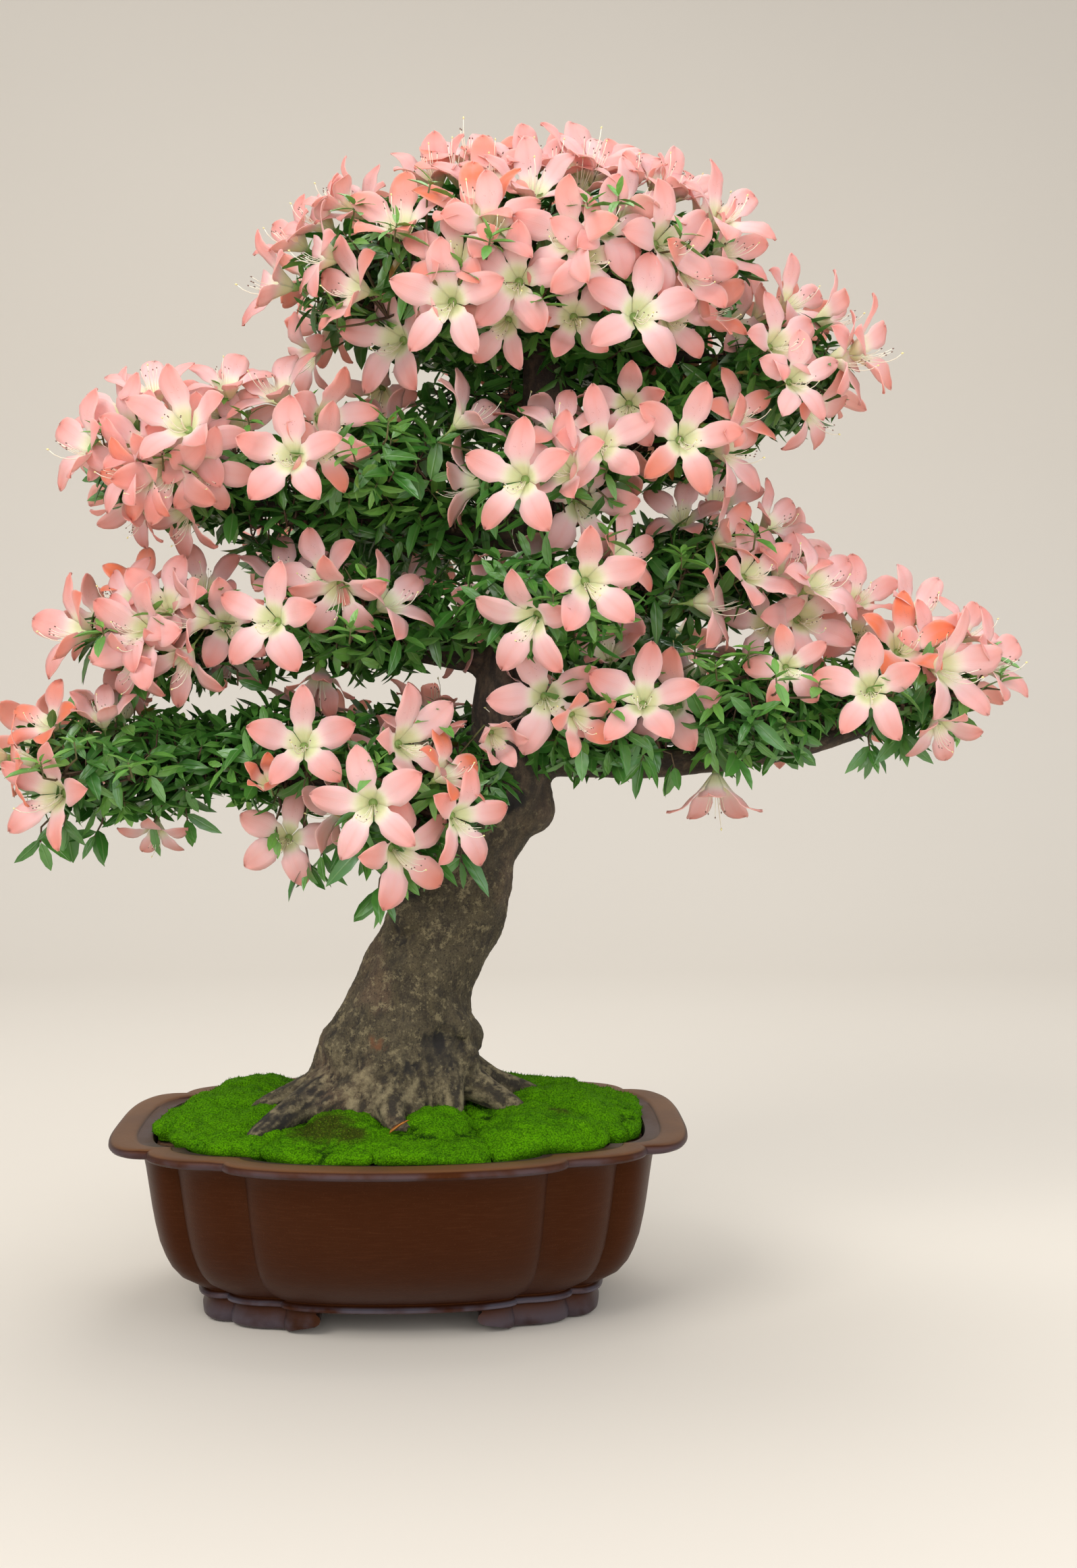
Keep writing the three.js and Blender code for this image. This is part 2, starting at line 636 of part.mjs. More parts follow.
function buildFlower(name, wantedMouth, facing, pad) {
  let mouth = wantedMouth;
  const along = (distance) => mouth.clone().addScaledVector(facing, distance);
  let inward = facing.clone().negate();
  let touch = touchOn(pad, along(COROLLA_RADIUS * 3), inward);
  if (touch) {
    const reach = mouth.clone().sub(touch).dot(facing);
    mouth = along(Math.max(0, FUNNEL_DEPTH + SHORTEST_PEDICEL - reach));
  } else {
    const heart = new THREE.Vector3(...PADS[pad.name].slice(0, 3));
    inward = heart.sub(along(-FUNNEL_DEPTH)).normalize();
    touch = touchOn(pad, along(-FUNNEL_DEPTH), inward);
  }
  if (!touch) {
    throw new Error(`${name} does not reach its pad`);
  }
  const foot = along(-FUNNEL_DEPTH);
  const seat = touch.clone().addScaledVector(inward, -SEAT_GAP);
  const stalk = inward.clone().negate();
  const rings = [
    flowerRing(seat.clone().addScaledVector(stalk, 2.4), stalk, PEDICEL_RADIUS, PEDICEL_RADIUS),
    flowerRing(foot, facing, PEDICEL_RADIUS + 0.6, PEDICEL_RADIUS + 0.6),
    flowerRing(along(-FUNNEL_DEPTH * 0.45), facing, 6.5, 6.5),
    flowerRing(along(0), facing, 15, 10.5),
    flowerRing(along(-1), facing, COROLLA_RADIUS, 13),
    flowerRing(along(-1 + PETAL_THICKNESS), facing, COROLLA_RADIUS - 0.5, 12.5),
    flowerRing(along(PETAL_THICKNESS), facing, 14, 9.5),
  ];
  const geometry = skin(rings, seat, along(-FUNNEL_DEPTH * 0.6));
  addMesh(name, geometry, 'petals');
}

// ---------------------------------------------------------------- assembly
const woodRoom = woodSolid(WOOD_CLEARANCE);

buildPot();
buildDrainScreen('drain_screen_left', -DRAIN_X);
buildDrainScreen('drain_screen_right', DRAIN_X);
buildScreenClip('screen_clip_left', -DRAIN_X);
buildScreenClip('screen_clip_right', DRAIN_X);
buildSoil(woodRoom);
const wallRoom = cavitySolid(0.9, POT_HEIGHT + 80);
for (const name of Object.keys(CUSHIONS)) {
  buildCushion(name, woodRoom, wallRoom);
}
addMesh('trunk_and_branches', toGeometry(woodSolid(0)), 'bark');

const pads = new Map();
for (const name of Object.keys(PADS)) {
  pads.set(name, buildPad(name, woodRoom));
}
const flowersOnPad = new Map();
for (const [padName, mouth, [turn, tilt]] of FLOWERS) {
  const number = (flowersOnPad.get(padName) ?? 0) + 1;
  flowersOnPad.set(padName, number);
  const pad = pads.get(`leaves_${padName}`);
  const facing = lookingAlong(turn, tilt);
  buildFlower(`flower_${padName}_${number}`, new THREE.Vector3(...mouth), facing, pad);
}

const bounds = new THREE.Box3().setFromObject(tree);
const middle = bounds.getCenter(new THREE.Vector3());
tree.position.set(-middle.x, -middle.y, -bounds.min.z);
tree.updateMatrixWorld(true);

export default tree;
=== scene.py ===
"""A satsuki azalea bonsai: its looks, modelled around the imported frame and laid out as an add-on."""

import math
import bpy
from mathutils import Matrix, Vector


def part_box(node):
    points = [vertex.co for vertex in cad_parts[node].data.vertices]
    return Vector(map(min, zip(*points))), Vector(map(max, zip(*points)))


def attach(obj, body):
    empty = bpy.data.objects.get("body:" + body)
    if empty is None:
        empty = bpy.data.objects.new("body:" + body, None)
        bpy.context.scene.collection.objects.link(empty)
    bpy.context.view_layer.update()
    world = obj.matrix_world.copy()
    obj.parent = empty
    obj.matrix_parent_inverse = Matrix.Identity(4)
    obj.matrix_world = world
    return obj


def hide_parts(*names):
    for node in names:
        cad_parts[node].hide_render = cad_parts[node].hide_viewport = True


bl_info = {
    "name": "Satsuki azalea bonsai",
    "version": (1, 0, 0),
    "blender": (4, 5, 0),
    "location": "3D View > Sidebar > Azalea",
    "description": "Models a satsuki azalea in bloom, with its pot, moss and wood, around its packed frame",
    "category": "Add Mesh",
}

from collections import namedtuple

import bpy
import numpy as np
from bpy.props import FloatProperty, FloatVectorProperty, IntProperty, PointerProperty
from mathutils import Euler, Matrix, Vector, noise

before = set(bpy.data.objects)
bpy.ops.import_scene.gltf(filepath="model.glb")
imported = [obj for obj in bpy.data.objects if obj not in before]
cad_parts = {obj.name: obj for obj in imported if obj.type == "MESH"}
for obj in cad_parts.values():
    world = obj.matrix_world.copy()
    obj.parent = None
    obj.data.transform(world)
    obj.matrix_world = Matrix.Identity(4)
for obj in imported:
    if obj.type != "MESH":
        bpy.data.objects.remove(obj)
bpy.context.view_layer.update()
MM = 0.001
pot_low, pot_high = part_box("pot")
POT_BASE = (pot_low + pot_high) / 2  # under the pot's middle, between the feet
POT_BASE.z = 0.0


def from_pot(x, y, z):
    """A point given in millimetres from the pot's base."""
    return POT_BASE + Vector((x, y, z)) * MM


def looking_along(turn, tilt):
    """A direction from two angles in degrees: turn 0 is the front, 90 the right; tilt is upwards."""
    a, b = math.radians(turn), math.radians(tilt)
    return Vector((math.sin(a) * math.cos(b), -math.cos(a) * math.cos(b), math.sin(b)))


def upright_frame(axis):
    """A turn whose Z lies along axis and whose X is level."""
    axis = Vector(axis).normalized()
    side = Vector((0, 0, 1)).cross(axis)
    if side.length < 1e-3:
        side = Vector((1, 0, 0))
    side.normalize()
    return Matrix((side, axis.cross(side), axis)).transposed()


def unit(rows, tiny=0.0):
    """One arrow or many, each made one long; tiny keeps an arrow without length from dividing by nothing."""
    length = np.linalg.norm(rows) if rows.ndim == 1 else np.linalg.norm(rows, axis=-1, keepdims=True)
    return rows / (length + tiny)


# ---------------------------------------------------------------- shader expressions
class Wire:
    """A socket of a material. Arithmetic on it adds the Math nodes."""

    def __init__(self, look, socket):
        self.look, self.socket = look, socket

    def math(self, operation, *others):
        return self.look.node("ShaderNodeMath", {"operation": operation}, dict(enumerate((self, *others))))

    def __add__(self, other):
        return self.math("ADD", other)

    __radd__ = __add__

    def __mul__(self, other):
        return self.math("MULTIPLY", other)

    __rmul__ = __mul__

    def __sub__(self, other):
        return self.math("SUBTRACT", other)

    def __rsub__(self, other):
        return self.look.node("ShaderNodeMath", {"operation": "SUBTRACT"}, {0: other, 1: self})

    def between(self, low, high):
        """0 below low, 1 above high and smooth between."""
        smooth = {"interpolation_type": "SMOOTHSTEP"}
        return self.look.node("ShaderNodeMapRange", smooth, {0: self, 1: low, 2: high})


class Look:
    """A material in the making."""

    def __init__(self, name, **fixed):
        self.material = bpy.data.materials.new(name)
        self.material.use_nodes = True
        self.tree = self.material.node_tree
        self.tree.nodes.clear()
        self.surface = self.tree.nodes.new("ShaderNodeBsdfPrincipled")
        self.output = self.tree.nodes.new("ShaderNodeOutputMaterial")
        self.tree.links.new(self.surface.outputs[0], self.output.inputs["Surface"])
        for socket, value in fixed.items():
            title = socket.replace("_", " ").title().replace("Ior", "IOR")
            self.surface.inputs[title].default_value = value

    def put(self, socket, value):
        """Links or sets one input."""
        if isinstance(value, Wire):
            self.tree.links.new(value.socket, socket)
        else:
            socket.default_value = (*value, 1.0) if socket.type == "RGBA" and len(value) == 3 else value

    def node(self, kind, settings=None, inputs=None, out=0):
        """Adds a node: its settings first, then its sockets by name or number. Gives its output."""
        made = self.tree.nodes.new(kind)
        for key, value in (settings or {}).items():
            setattr(made, key, value)
        for key, value in (inputs or {}).items():
            self.put(made.inputs[key], value)
        return Wire(self, made.outputs[out])

    def object_place(self):
        return self.node("ShaderNodeTexCoord", out="Object")

    def attribute(self, name, out="Fac"):
        return self.node("ShaderNodeAttribute", {"attribute_name": name}, out=out)

    def noise(self, vector, scale, detail=4.0, roughness=0.55, distortion=0.0):
        """Noise from 0 to 1; scale is in waves to the metre."""
        inputs = {"Vector": vector, "Scale": scale, "Detail": detail}
        inputs.update({"Roughness": roughness, "Distortion": distortion})
        return self.node("ShaderNodeTexNoise", None, inputs)

    def cells(self, vector, scale):
        return self.node("ShaderNodeTexVoronoi", None, {"Vector": vector, "Scale": scale}, "Distance")

    def stretched(self, vector, x, y, z):
        return self.node("ShaderNodeVectorMath", {"operation": "MULTIPLY"}, {0: vector, 1: (x, y, z)})

    def part(self, vector, axis):
        return self.node("ShaderNodeSeparateXYZ", None, {0: vector}, axis)

    def mix(self, factor, a, b):
        return self.node("ShaderNodeMix", {"data_type": "RGBA"}, {0: factor, 6: a, 7: b}, 2)

    def layers(self, colour, *over):
        """A colour with others laid over it in turn, each through its mask."""
        for mask, upper in over:
            colour = self.mix(mask, colour, upper)
        return colour

    def finish(self, colour, roughness=None, bump=None, depth=1.0, strength=1.0):
        """Links what changes over the surface; bump is a height of 0 to 1 and depth its real size in metres."""
        self.put(self.surface.inputs["Base Color"], colour)
        if roughness is not None:
            self.put(self.surface.inputs["Roughness"], roughness)
        if bump is not None:
            normal = self.node("ShaderNodeBump", None, {"Height": bump, "Distance": depth, "Strength": strength})
            self.put(self.surface.inputs["Normal"], normal)
        return self.material

    def glow_through(self, colour, share):
        """Lets a share of the light pass through a thin blade."""
        through = self.node("ShaderNodeBsdfTranslucent", None, {"Color": colour})
        both = {0: share, 1: Wire(self, self.surface.outputs[0]), 2: through}
        self.put(self.output.inputs["Surface"], self.node("ShaderNodeMixShader", None, both))


def paint(red, green, blue):
    """A colour given as 0 to 255 display values, made linear."""
    shares = (red / 255, green / 255, blue / 255)
    return tuple(c / 12.92 if c <= 0.04045 else ((c + 0.055) / 1.055) ** 2.4 for c in shares)


# ---------------------------------------------------------------- sizes and colours that a user may change
def colour_setting(name, description, *rgb):
    return FloatVectorProperty(name=name, description=description, subtype="COLOR", default=paint(*rgb))


def length_setting(name, description, metres):
    return FloatProperty(name=name, description=description, subtype="DISTANCE", default=metres)


class PotSettings(bpy.types.PropertyGroup):
    """The stoneware pot."""

    clay: colour_setting("Clay", "Fired clay of the body", 50, 22, 9)
    rim_clay: colour_setting("Rim clay", "Rubbed flat of the rim", 104, 70, 44)
    # Salt bloom is a painted sheen: the grey-blue of a painted reflection on the lip, the foot band and the feet.
    bloom: colour_setting("Salt bloom", "Grey sheen of lip and foot", 86, 84, 94)


class MossSettings(bpy.types.PropertyGroup):
    """The moss cushions."""

    tip: colour_setting("Tips", "Lit tips of the moss", 81, 141, 2)
    root: colour_setting("Hollows", "Shaded hollows", 24, 54, 3)
    tuft: length_setting("Tuft", "Length of one tuft", 0.0021)


class WoodSettings(bpy.types.PropertyGroup):
    """Trunk, roots and branches."""

    bark: colour_setting("Bark", "Old bark", 78, 68, 46)
    shade: colour_setting("Dark bark", "Cracks and young wood", 45, 37, 25)
    lichen: colour_setting("Lichen", "Pale crust", 138, 125, 92)
    cell: length_setting("Cell", "Size of the remeshed faces", 0.0028)


class LeafSettings(bpy.types.PropertyGroup):
    """Leaves and twigs."""

    old: colour_setting("Old leaf", "Last year's leaves", 43, 108, 33)
    young: colour_setting("New leaf", "This spring's growth", 126, 186, 76)
    length: length_setting("Leaf length", "Usual leaf", 0.030)
    spacing: length_setting("Shoot spacing", "Between shoots", 0.0195)


class BloomSettings(bpy.types.PropertyGroup):
    """The flowers."""

    petal: colour_setting("Petal", "Middle of a petal", 248, 198, 197)
    petal_tip: colour_setting("Petal tip", "Deeper tips", 241, 154, 143)
    throat: colour_setting("Throat", "Green of the throat", 224, 232, 166)
    orange: colour_setting("Orange", "Ageing petals", 248, 128, 80)
    radius: length_setting("Radius", "Axis to petal tip", 0.0440)


class AzaleaSettings(bpy.types.PropertyGroup):
    """Everything that the panel shows."""

    pot: PointerProperty(type=PotSettings)
    moss: PointerProperty(type=MossSettings)
    wood: PointerProperty(type=WoodSettings)
    leaf: PointerProperty(type=LeafSettings)
    bloom: PointerProperty(type=BloomSettings)
    seed: IntProperty(name="Seed", description="Where chance starts", default=17)


# ---------------------------------------------------------------- materials
# Heights in metres between which one finish passes into the next.
RIM_FLAT = (0.1405, 0.1422)
LIP_STARTS, LIP_ENDS = (0.1335, 0.1365), (0.1395, 0.1425)
BAND_STARTS, BAND_ENDS = (0.0185, 0.0198), (0.0222, 0.0236)
FEET_END = (0.006, 0.02)
ROOT_FLARE_ENDS = (0.17, 0.235)
YOUNG_WOOD_STARTS = (0.30, 0.46)


def stoneware_look(sizes):
    """Unglazed dark clay: rubbed rim, a grey painted sheen (a painted reflection) on lip, foot band and feet, and
    darker feet.
    """
    look = Look("stoneware", roughness=0.5, specular_ior_level=0.32, specular_tint=(*paint(214, 140, 84), 1))
    place = look.object_place()
    height = look.part(place, 2)
    facing_up = look.part(look.node("ShaderNodeNewGeometry", out="Normal"), 2)
    clouds = look.noise(place, 14, 5, 0.6)
    brushed = look.noise(look.stretched(place, 1, 1, 14), 60, 4, 0.6)
    grain = look.noise(place, 900, 3, 0.7)
    on_rim = height.between(*RIM_FLAT) * facing_up.between(0.75, 0.95)
    lip = height.between(*LIP_STARTS) * (1 - height.between(*LIP_ENDS))
    band = height.between(*BAND_STARTS) * (1 - height.between(*BAND_ENDS))
    feet = 1 - height.between(*FEET_END)
    # painted reflection: a grey-blue sheen painted over the lip, the foot band and the feet
    sheen = (lip * 0.4 + band * 0.8 + feet * 0.5) * look.noise(place, 30, 3).between(0.3, 0.62)
    scratch = look.noise(look.stretched(place, 0.25, 1, 3), 90, 5, 0.75, 0.6).between(0.66, 0.74)
    colour = look.layers(
        look.mix((clouds - 0.35) * 1.6, sizes.clay, paint(54, 28, 14)),
        (grain.between(0.6, 0.72) * 0.3, paint(96, 62, 42)),
        (brushed.between(0.45, 0.75) * 0.16, paint(88, 52, 32)),
        (on_rim, look.mix(clouds.between(0.4, 0.65), sizes.rim_clay, paint(92, 62, 43))),
        (feet * 0.6, paint(36, 24, 20)),
        # the painted sheen, in the salt bloom colour
        (sheen, sizes.bloom),
        (scratch * (on_rim * 0.5 + 0.04), paint(168, 142, 120)),
    )
    roughness = 0.46 - sheen * 0.14 + (grain - 0.5) * 0.14
    return look.finish(colour, roughness, grain * 0.75 + brushed * 0.25, 0.0006, 0.35)


def moss_look(sizes):
    """Dense low moss: painted light on the tips, painted shade in the hollows between the mounds and in darker
    mottles, and browner patches.
    """
    look = Look("moss", roughness=0.95, specular_ior_level=0.06)
    place = look.object_place()
    fine = look.noise(place, 620, 4, 0.75)
    specks = look.cells(place, 760)
    colour = look.layers(
        # painted light and shade: the lit tip colour on the mounds, the shaded hollow colour low down
        look.mix(look.attribute("relief").between(0.12, 0.62), sizes.root, sizes.tip),
        (look.noise(place, 24, 4, 0.6).between(0.42, 0.66) * 0.6, paint(66, 122, 4)),
        # painted shade: darker mottles that stand for shade in the hollows
        (look.noise(place, 72, 4, 0.6).between(0.52, 0.68) * 0.5, paint(40, 82, 6)),
        (look.attribute("dark").between(0.1, 0.9), paint(62, 70, 16)),
        (fine.between(0.54, 0.7) * 0.55, paint(136, 190, 26)),
        (specks.between(0.4, 0.75) * 0.55, sizes.root),
    )
    return look.finish(colour, None, fine * 0.6 + specks * 0.4, 0.0018, 0.9)


def bark_look(sizes):
    """Grey-brown bark, mottled, with pale lichen and reddish bruises; painted shade in the pits, grooves and hollows,
    and a painted highlight on the ridges of the root flare; young wood is darker.
    """
    look = Look("bark", roughness=0.88)
    place = look.object_place()
    height = look.part(place, 2)
    relief = look.attribute("relief")
    streaks = look.noise(look.stretched(look.attribute("flow", "Vector"), 1, 1, 0.5), 120, 6, 0.7)
    fine = look.noise(place, 620, 4, 0.75)
    crust = look.noise(place, 120, 6, 0.72)
    flare = 1 - height.between(*ROOT_FLARE_ENDS)
    young = height.between(*YOUNG_WOOD_STARTS)
    colour = look.layers(
        look.mix(streaks.between(0.34, 0.66), sizes.shade, sizes.bark),
        (look.noise(place, 26, 5, 0.65, 0.5).between(0.46, 0.62) * 0.6, paint(84, 74, 54)),
        (look.noise(place, 15, 3).between(0.55, 0.7) * 0.4, paint(106, 80, 62)),
        (crust.between(0.53, 0.62) * 0.6, sizes.lichen),
        (fine.between(0.56, 0.7) * 0.5, paint(134, 125, 98)),
        ((1 - fine.between(0.38, 0.47)) * 0.85, paint(36, 29, 22)),
        # painted shade: low relief, in the pits and grooves between the ridges, is painted dark
        ((1 - relief.between(0.14, 0.5)) * 0.68, paint(40, 34, 27)),
        # partly pale tan bark, partly a painted highlight on the ridge tops of the root flare
        (flare * relief.between(0.4, 0.95) * crust.between(0.36, 0.56) * 0.6, paint(144, 130, 98)),
        (look.attribute("rust").between(0.2, 0.9) * crust.between(0.4, 0.5), paint(104, 66, 40)),
        (young * 0.85, look.mix(streaks.between(0.42, 0.66), paint(40, 30, 24), paint(86, 68, 54))),
        # the dark attribute: dark stains on the bark, and painted shade inside the hollows
        (look.attribute("dark").between(0.1, 0.9), paint(30, 26, 23)),
    )
    return look.finish(colour, 0.92 - young * 0.15, streaks * 0.4 + fine * 0.6, 0.0020, 0.8)


def leaf_look(sizes):
    """Small glossy leaves: dark when old, bright when new, with a pale midrib."""
    look = Look("leaf", roughness=0.33, specular_ior_level=1.0)
    look.glow_through(paint(92, 168, 40), 0.18)
    shape = look.node("ShaderNodeUVMap", {"uv_map": "blade"})
    across, along = look.part(shape, 0), look.part(shape, 1)
    age = look.attribute("age")
    midrib = 1 - (across - 0.5).math("ABSOLUTE").between(0.0, 0.09)
    colour = look.layers(
        look.mix(age, sizes.old, sizes.young),
        (look.noise(look.object_place(), 60, 3).between(0.35, 0.7) * 0.3, paint(36, 92, 42)),
        (midrib * 0.4, paint(128, 168, 96)),
        (look.attribute("rust").between(0.5, 1.0) * along, paint(150, 84, 40)),
    )
    veins = (across * 9 + along * 22).math("SINE")
    return look.finish(colour, 0.35 + age * 0.12, veins * 0.3 + midrib, 0.0006, 0.4)


def twig_look():
    """Thin red-brown shoots, greener at their ends."""
    look = Look("twig", roughness=0.75)
    grain = look.noise(look.stretched(look.object_place(), 1, 1, 0.4), 500, 4, 0.65)
    colour = look.mix(grain, paint(52, 38, 30), paint(112, 84, 62))
    colour = look.mix(look.attribute("age"), colour, paint(104, 122, 58))
    return look.finish(colour, None, grain, 0.0006, 0.5)


def petal_look(sizes):
    """Thin salmon petals: green throat, pale middle, deeper tips, light rims and a freckled upper petal."""
    look = Look("petal", roughness=0.55, sheen_weight=0.15, subsurface_weight=0.12, subsurface_scale=0.004)
    shape = look.node("ShaderNodeUVMap", {"uv_map": "blade"})
    across, along = look.part(shape, 0), look.part(shape, 1)
    tint = look.attribute("tint")
    middle = (across - 0.5).math("ABSOLUTE")
    clouds = look.noise(look.object_place(), 60, 3)
    flesh = look.layers(
        look.mix(along.between(0.55, 1.02), sizes.petal, sizes.petal_tip),
        (tint.between(0.0, 1.0), sizes.orange),
        ((1 - tint.between(-1.0, 0.0)) * 0.7, paint(252, 222, 222)),
        ((1 - middle.between(0.0, 0.12)) * 0.22, sizes.petal_tip),
        (middle.between(0.36, 0.5) * 0.3, paint(255, 222, 212)),
        (clouds.between(0.4, 0.7) * 0.25, paint(255, 212, 208)),
        ((1 - along.between(0.42, 0.72)) * 0.45, paint(255, 220, 222)),
    )
    freckle = 1 - look.cells(look.stretched(shape, 1.2, 2.2, 1), 9).between(0.1, 0.2)
    blotch = (1 - middle.between(0.14, 0.3)) * along.between(0.4, 0.46) * (1 - along.between(0.6, 0.7))
    colour = look.layers(
        look.mix(along.between(0.28, 0.50), paint(252, 240, 224), flesh),
        ((1 - along.between(0.20, 0.42)) * 0.72, sizes.throat),
        (freckle * look.attribute("upper") * blotch * 0.75, paint(168, 66, 72)),
    )
    veins = look.noise(look.stretched(shape, 26, 1.5, 1), 1.0, 3)
    look.glow_through(paint(255, 220, 208), 0.15 + 0.27 * along.between(0.3, 0.6))
    return look.finish(colour, 0.5 + clouds * 0.1, veins, 0.0008, 0.35)


def stalk_look():
    """Cream stamens and style, green stalk and calyx: the colour is each face's own."""
    look = Look("stalk", roughness=0.5)
    grain = look.noise(look.object_place(), 400, 2)
    own = look.attribute("own", "Color")
    return look.finish(look.mix(grain * 0.2, own, paint(240, 236, 200)), 0.45 + grain * 0.1)


def grainy_look(name, dark, light, waves, roughness, depth, **fixed):
    """A grainy surface in two colours, for soil, screen, wire and a dry leaf."""
    look = Look(name, **fixed)
    place = look.object_place()
    clumps = look.noise(place, waves, 6, 0.7)
    grit = look.cells(place, waves * 3)
    colour = look.mix(clumps.between(0.35, 0.68), dark, light)
    return look.finish(colour, roughness + (clumps - 0.5) * 0.2, clumps * 0.6 + grit * 0.4, depth, 0.6)


# ---------------------------------------------------------------- mesh helpers
def made_active(piece):
    """Selects this piece alone."""
    for each in bpy.context.selected_objects:
        each.select_set(False)
    piece.select_set(True)
    bpy.context.view_layer.objects.active = piece


def joined(piece, *others):
    """Joins the others into this piece."""
    made_active(piece)
    for other in others:
        other.select_set(True)
    bpy.ops.object.join()
    return piece


def edited(piece, operator, **settings):
    """Runs one edit-mode operator on the whole mesh."""
    made_active(piece)
    bpy.ops.object.mode_set(mode="EDIT")
    bpy.ops.mesh.select_all(action="SELECT")
    operator(**settings)
    bpy.ops.object.mode_set(mode="OBJECT")


def primitive(operator, **settings):
    """A primitive with its place applied."""
    operator(**settings)
    bpy.ops.object.transform_apply()
    return bpy.context.object


def apply_modifier(piece, kind, **settings):
    """Adds a modifier and applies it at once."""
    made_active(piece)
    modifier = piece.modifiers.new(kind.title(), kind)
    for key, value in settings.items():
        setattr(modifier, key, value)
    bpy.ops.object.modifier_apply(modifier=modifier.name)


def smoothed(piece, smooth=True):
    piece.data.polygons.foreach_set("use_smooth", [smooth] * len(piece.data.polygons))
    return piece


def piece_from(name, corners, faces):
    """A new smooth object at the origin from corner places (metres) and faces."""
    mesh = bpy.data.meshes.new(name)
    mesh.from_pydata(np.array(corners, float).tolist(), [], faces)
    piece = bpy.data.objects.new(name, mesh)
    bpy.context.scene.collection.objects.link(piece)
    return smoothed(piece)


def give(piece, name, values, kind="FLOAT"):
    """Stores one attribute of the corners."""
    attribute = piece.data.attributes.new(name, kind, "POINT")
    field = {"FLOAT": "value", "FLOAT_VECTOR": "vector", "FLOAT_COLOR": "color"}[kind]
    attribute.data.foreach_set(field, np.asarray(values, np.float32).ravel())


def corners_of(piece):
    """The mesh's corner places as rows."""
    places = np.zeros(len(piece.data.vertices) * 3)
    piece.data.vertices.foreach_get("co", places)
    return places.reshape(-1, 3)


def normals_of(piece):
    return np.array([v.normal for v in piece.data.vertices])


def settle(piece, slot, *nodes, looks=()):
    """Hangs a finished piece on the frame."""
    for look in looks:
        piece.data.materials.append(look)
    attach(piece, "root")
    if nodes:
        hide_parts(*nodes)
    return piece


def fields(places, waves, shift, octaves):
    """Noise of about -1 to 1 at each place."""
    shift = Vector((shift, shift, shift))
    return np.array([noise.fractal(Vector(p) * waves + shift, 0.7, 2.1, octaves) for p in places])


def smooth_line(stations, steps):
    """Catmull-Rom points through stations of place and radius; rows of x, y, z, r."""
    rows = np.array(stations, float)
    padded = np.vstack([2 * rows[0] - rows[1], rows, 2 * rows[-1] - rows[-2]])
    out = []
    for i in range(1, len(padded) - 2):
        a, b, c, d = padded[i - 1 : i + 3]
        for t in np.arange(steps) / steps:
            bend, twist = 2 * a - 5 * b + 4 * c - d, 3 * b - a - 3 * c + d
            out.append(0.5 * (2 * b + (c - a) * t + bend * t**2 + twist * t**3))
    out.append(rows[-1])
    return np.array(out)


class Pile:
    """Many small shapes gathered into one mesh, with what each corner carries."""

    def __init__(self):
        self.corners, self.faces, self.looks, self.carried, self.maps, self.count = [], [], [], {}, [], 0

    def add(self, corners, faces, blade=None, look=0, **carried):
        """Adds one shape: blade is each corner's place on the blade, look its material's number."""
        self.corners.append(corners)
        self.looks.extend([look] * len(faces))
        self.faces.extend(tuple(i + self.count for i in face) for face in faces)
        self.count += len(corners)
        self.maps.append(np.zeros((len(corners), 2)) if blade is None else blade)
        for name, value in carried.items():
            value = np.asarray(value, float)
            if not value.ndim or len(value) != len(corners):
                value = np.broadcast_to(value, (len(corners), *value.shape))
            self.carried.setdefault(name, []).append(value)

    def piece(self, name):
        """The gathered mesh as an object."""
        made = piece_from(name, np.vstack(self.corners), self.faces)
        made.data.polygons.foreach_set("material_index", self.looks)
        index = np.zeros(len(made.data.loops), np.int32)
        made.data.loops.foreach_get("vertex_index", index)
        layer = made.data.uv_layers.new(name="blade")
        layer.data.foreach_set("uv", np.vstack(self.maps)[index].astype(np.float32).ravel())
        for key, rows in self.carried.items():
            values = np.concatenate(rows)
            give(made, key, values, "FLOAT" if values.ndim == 1 else "FLOAT_COLOR")
        return made


def tube(points, radii, sides):
    """Corners and faces of a thin closed tube along points."""
    ways = unit(np.gradient(points, axis=0), 1e-12)
    side = np.cross(ways[0], (0, 0, 1) if abs(ways[0][2]) < 0.9 else (1, 0, 0))
    corners, faces = [], []
    for point, way, radius in zip(points, ways, radii):
        side = unit(side - way * side.dot(way), 1e-12)
        other = np.cross(way, side)
        for k in range(sides):
            a = 2 * math.pi * k / sides
            corners.append(point + radius * (side * math.cos(a) + other * math.sin(a)))
    for i in range(0, (len(points) - 1) * sides, sides):
        for k in range(sides):
            j = (k + 1) % sides
            faces.append((i + k, i + j, i + sides + j, i + sides + k))
    faces.append(tuple(reversed(range(sides))))
    faces.append(tuple(range((len(points) - 1) * sides, len(points) * sides)))
    return np.array(corners), faces


# ---------------------------------------------------------------- pot
NOTCH_END = (0.831, 0.584)  # between an end lobe and a corner lobe, as shares of half width and half depth
NOTCH_FRONT = (0.56, 0.806)  # between a corner lobe and a front lobe
NOTCH_STEP = (0.03, 0.02)  # how far a corner lobe stands back from its notches
LOBE_STEPS = 15
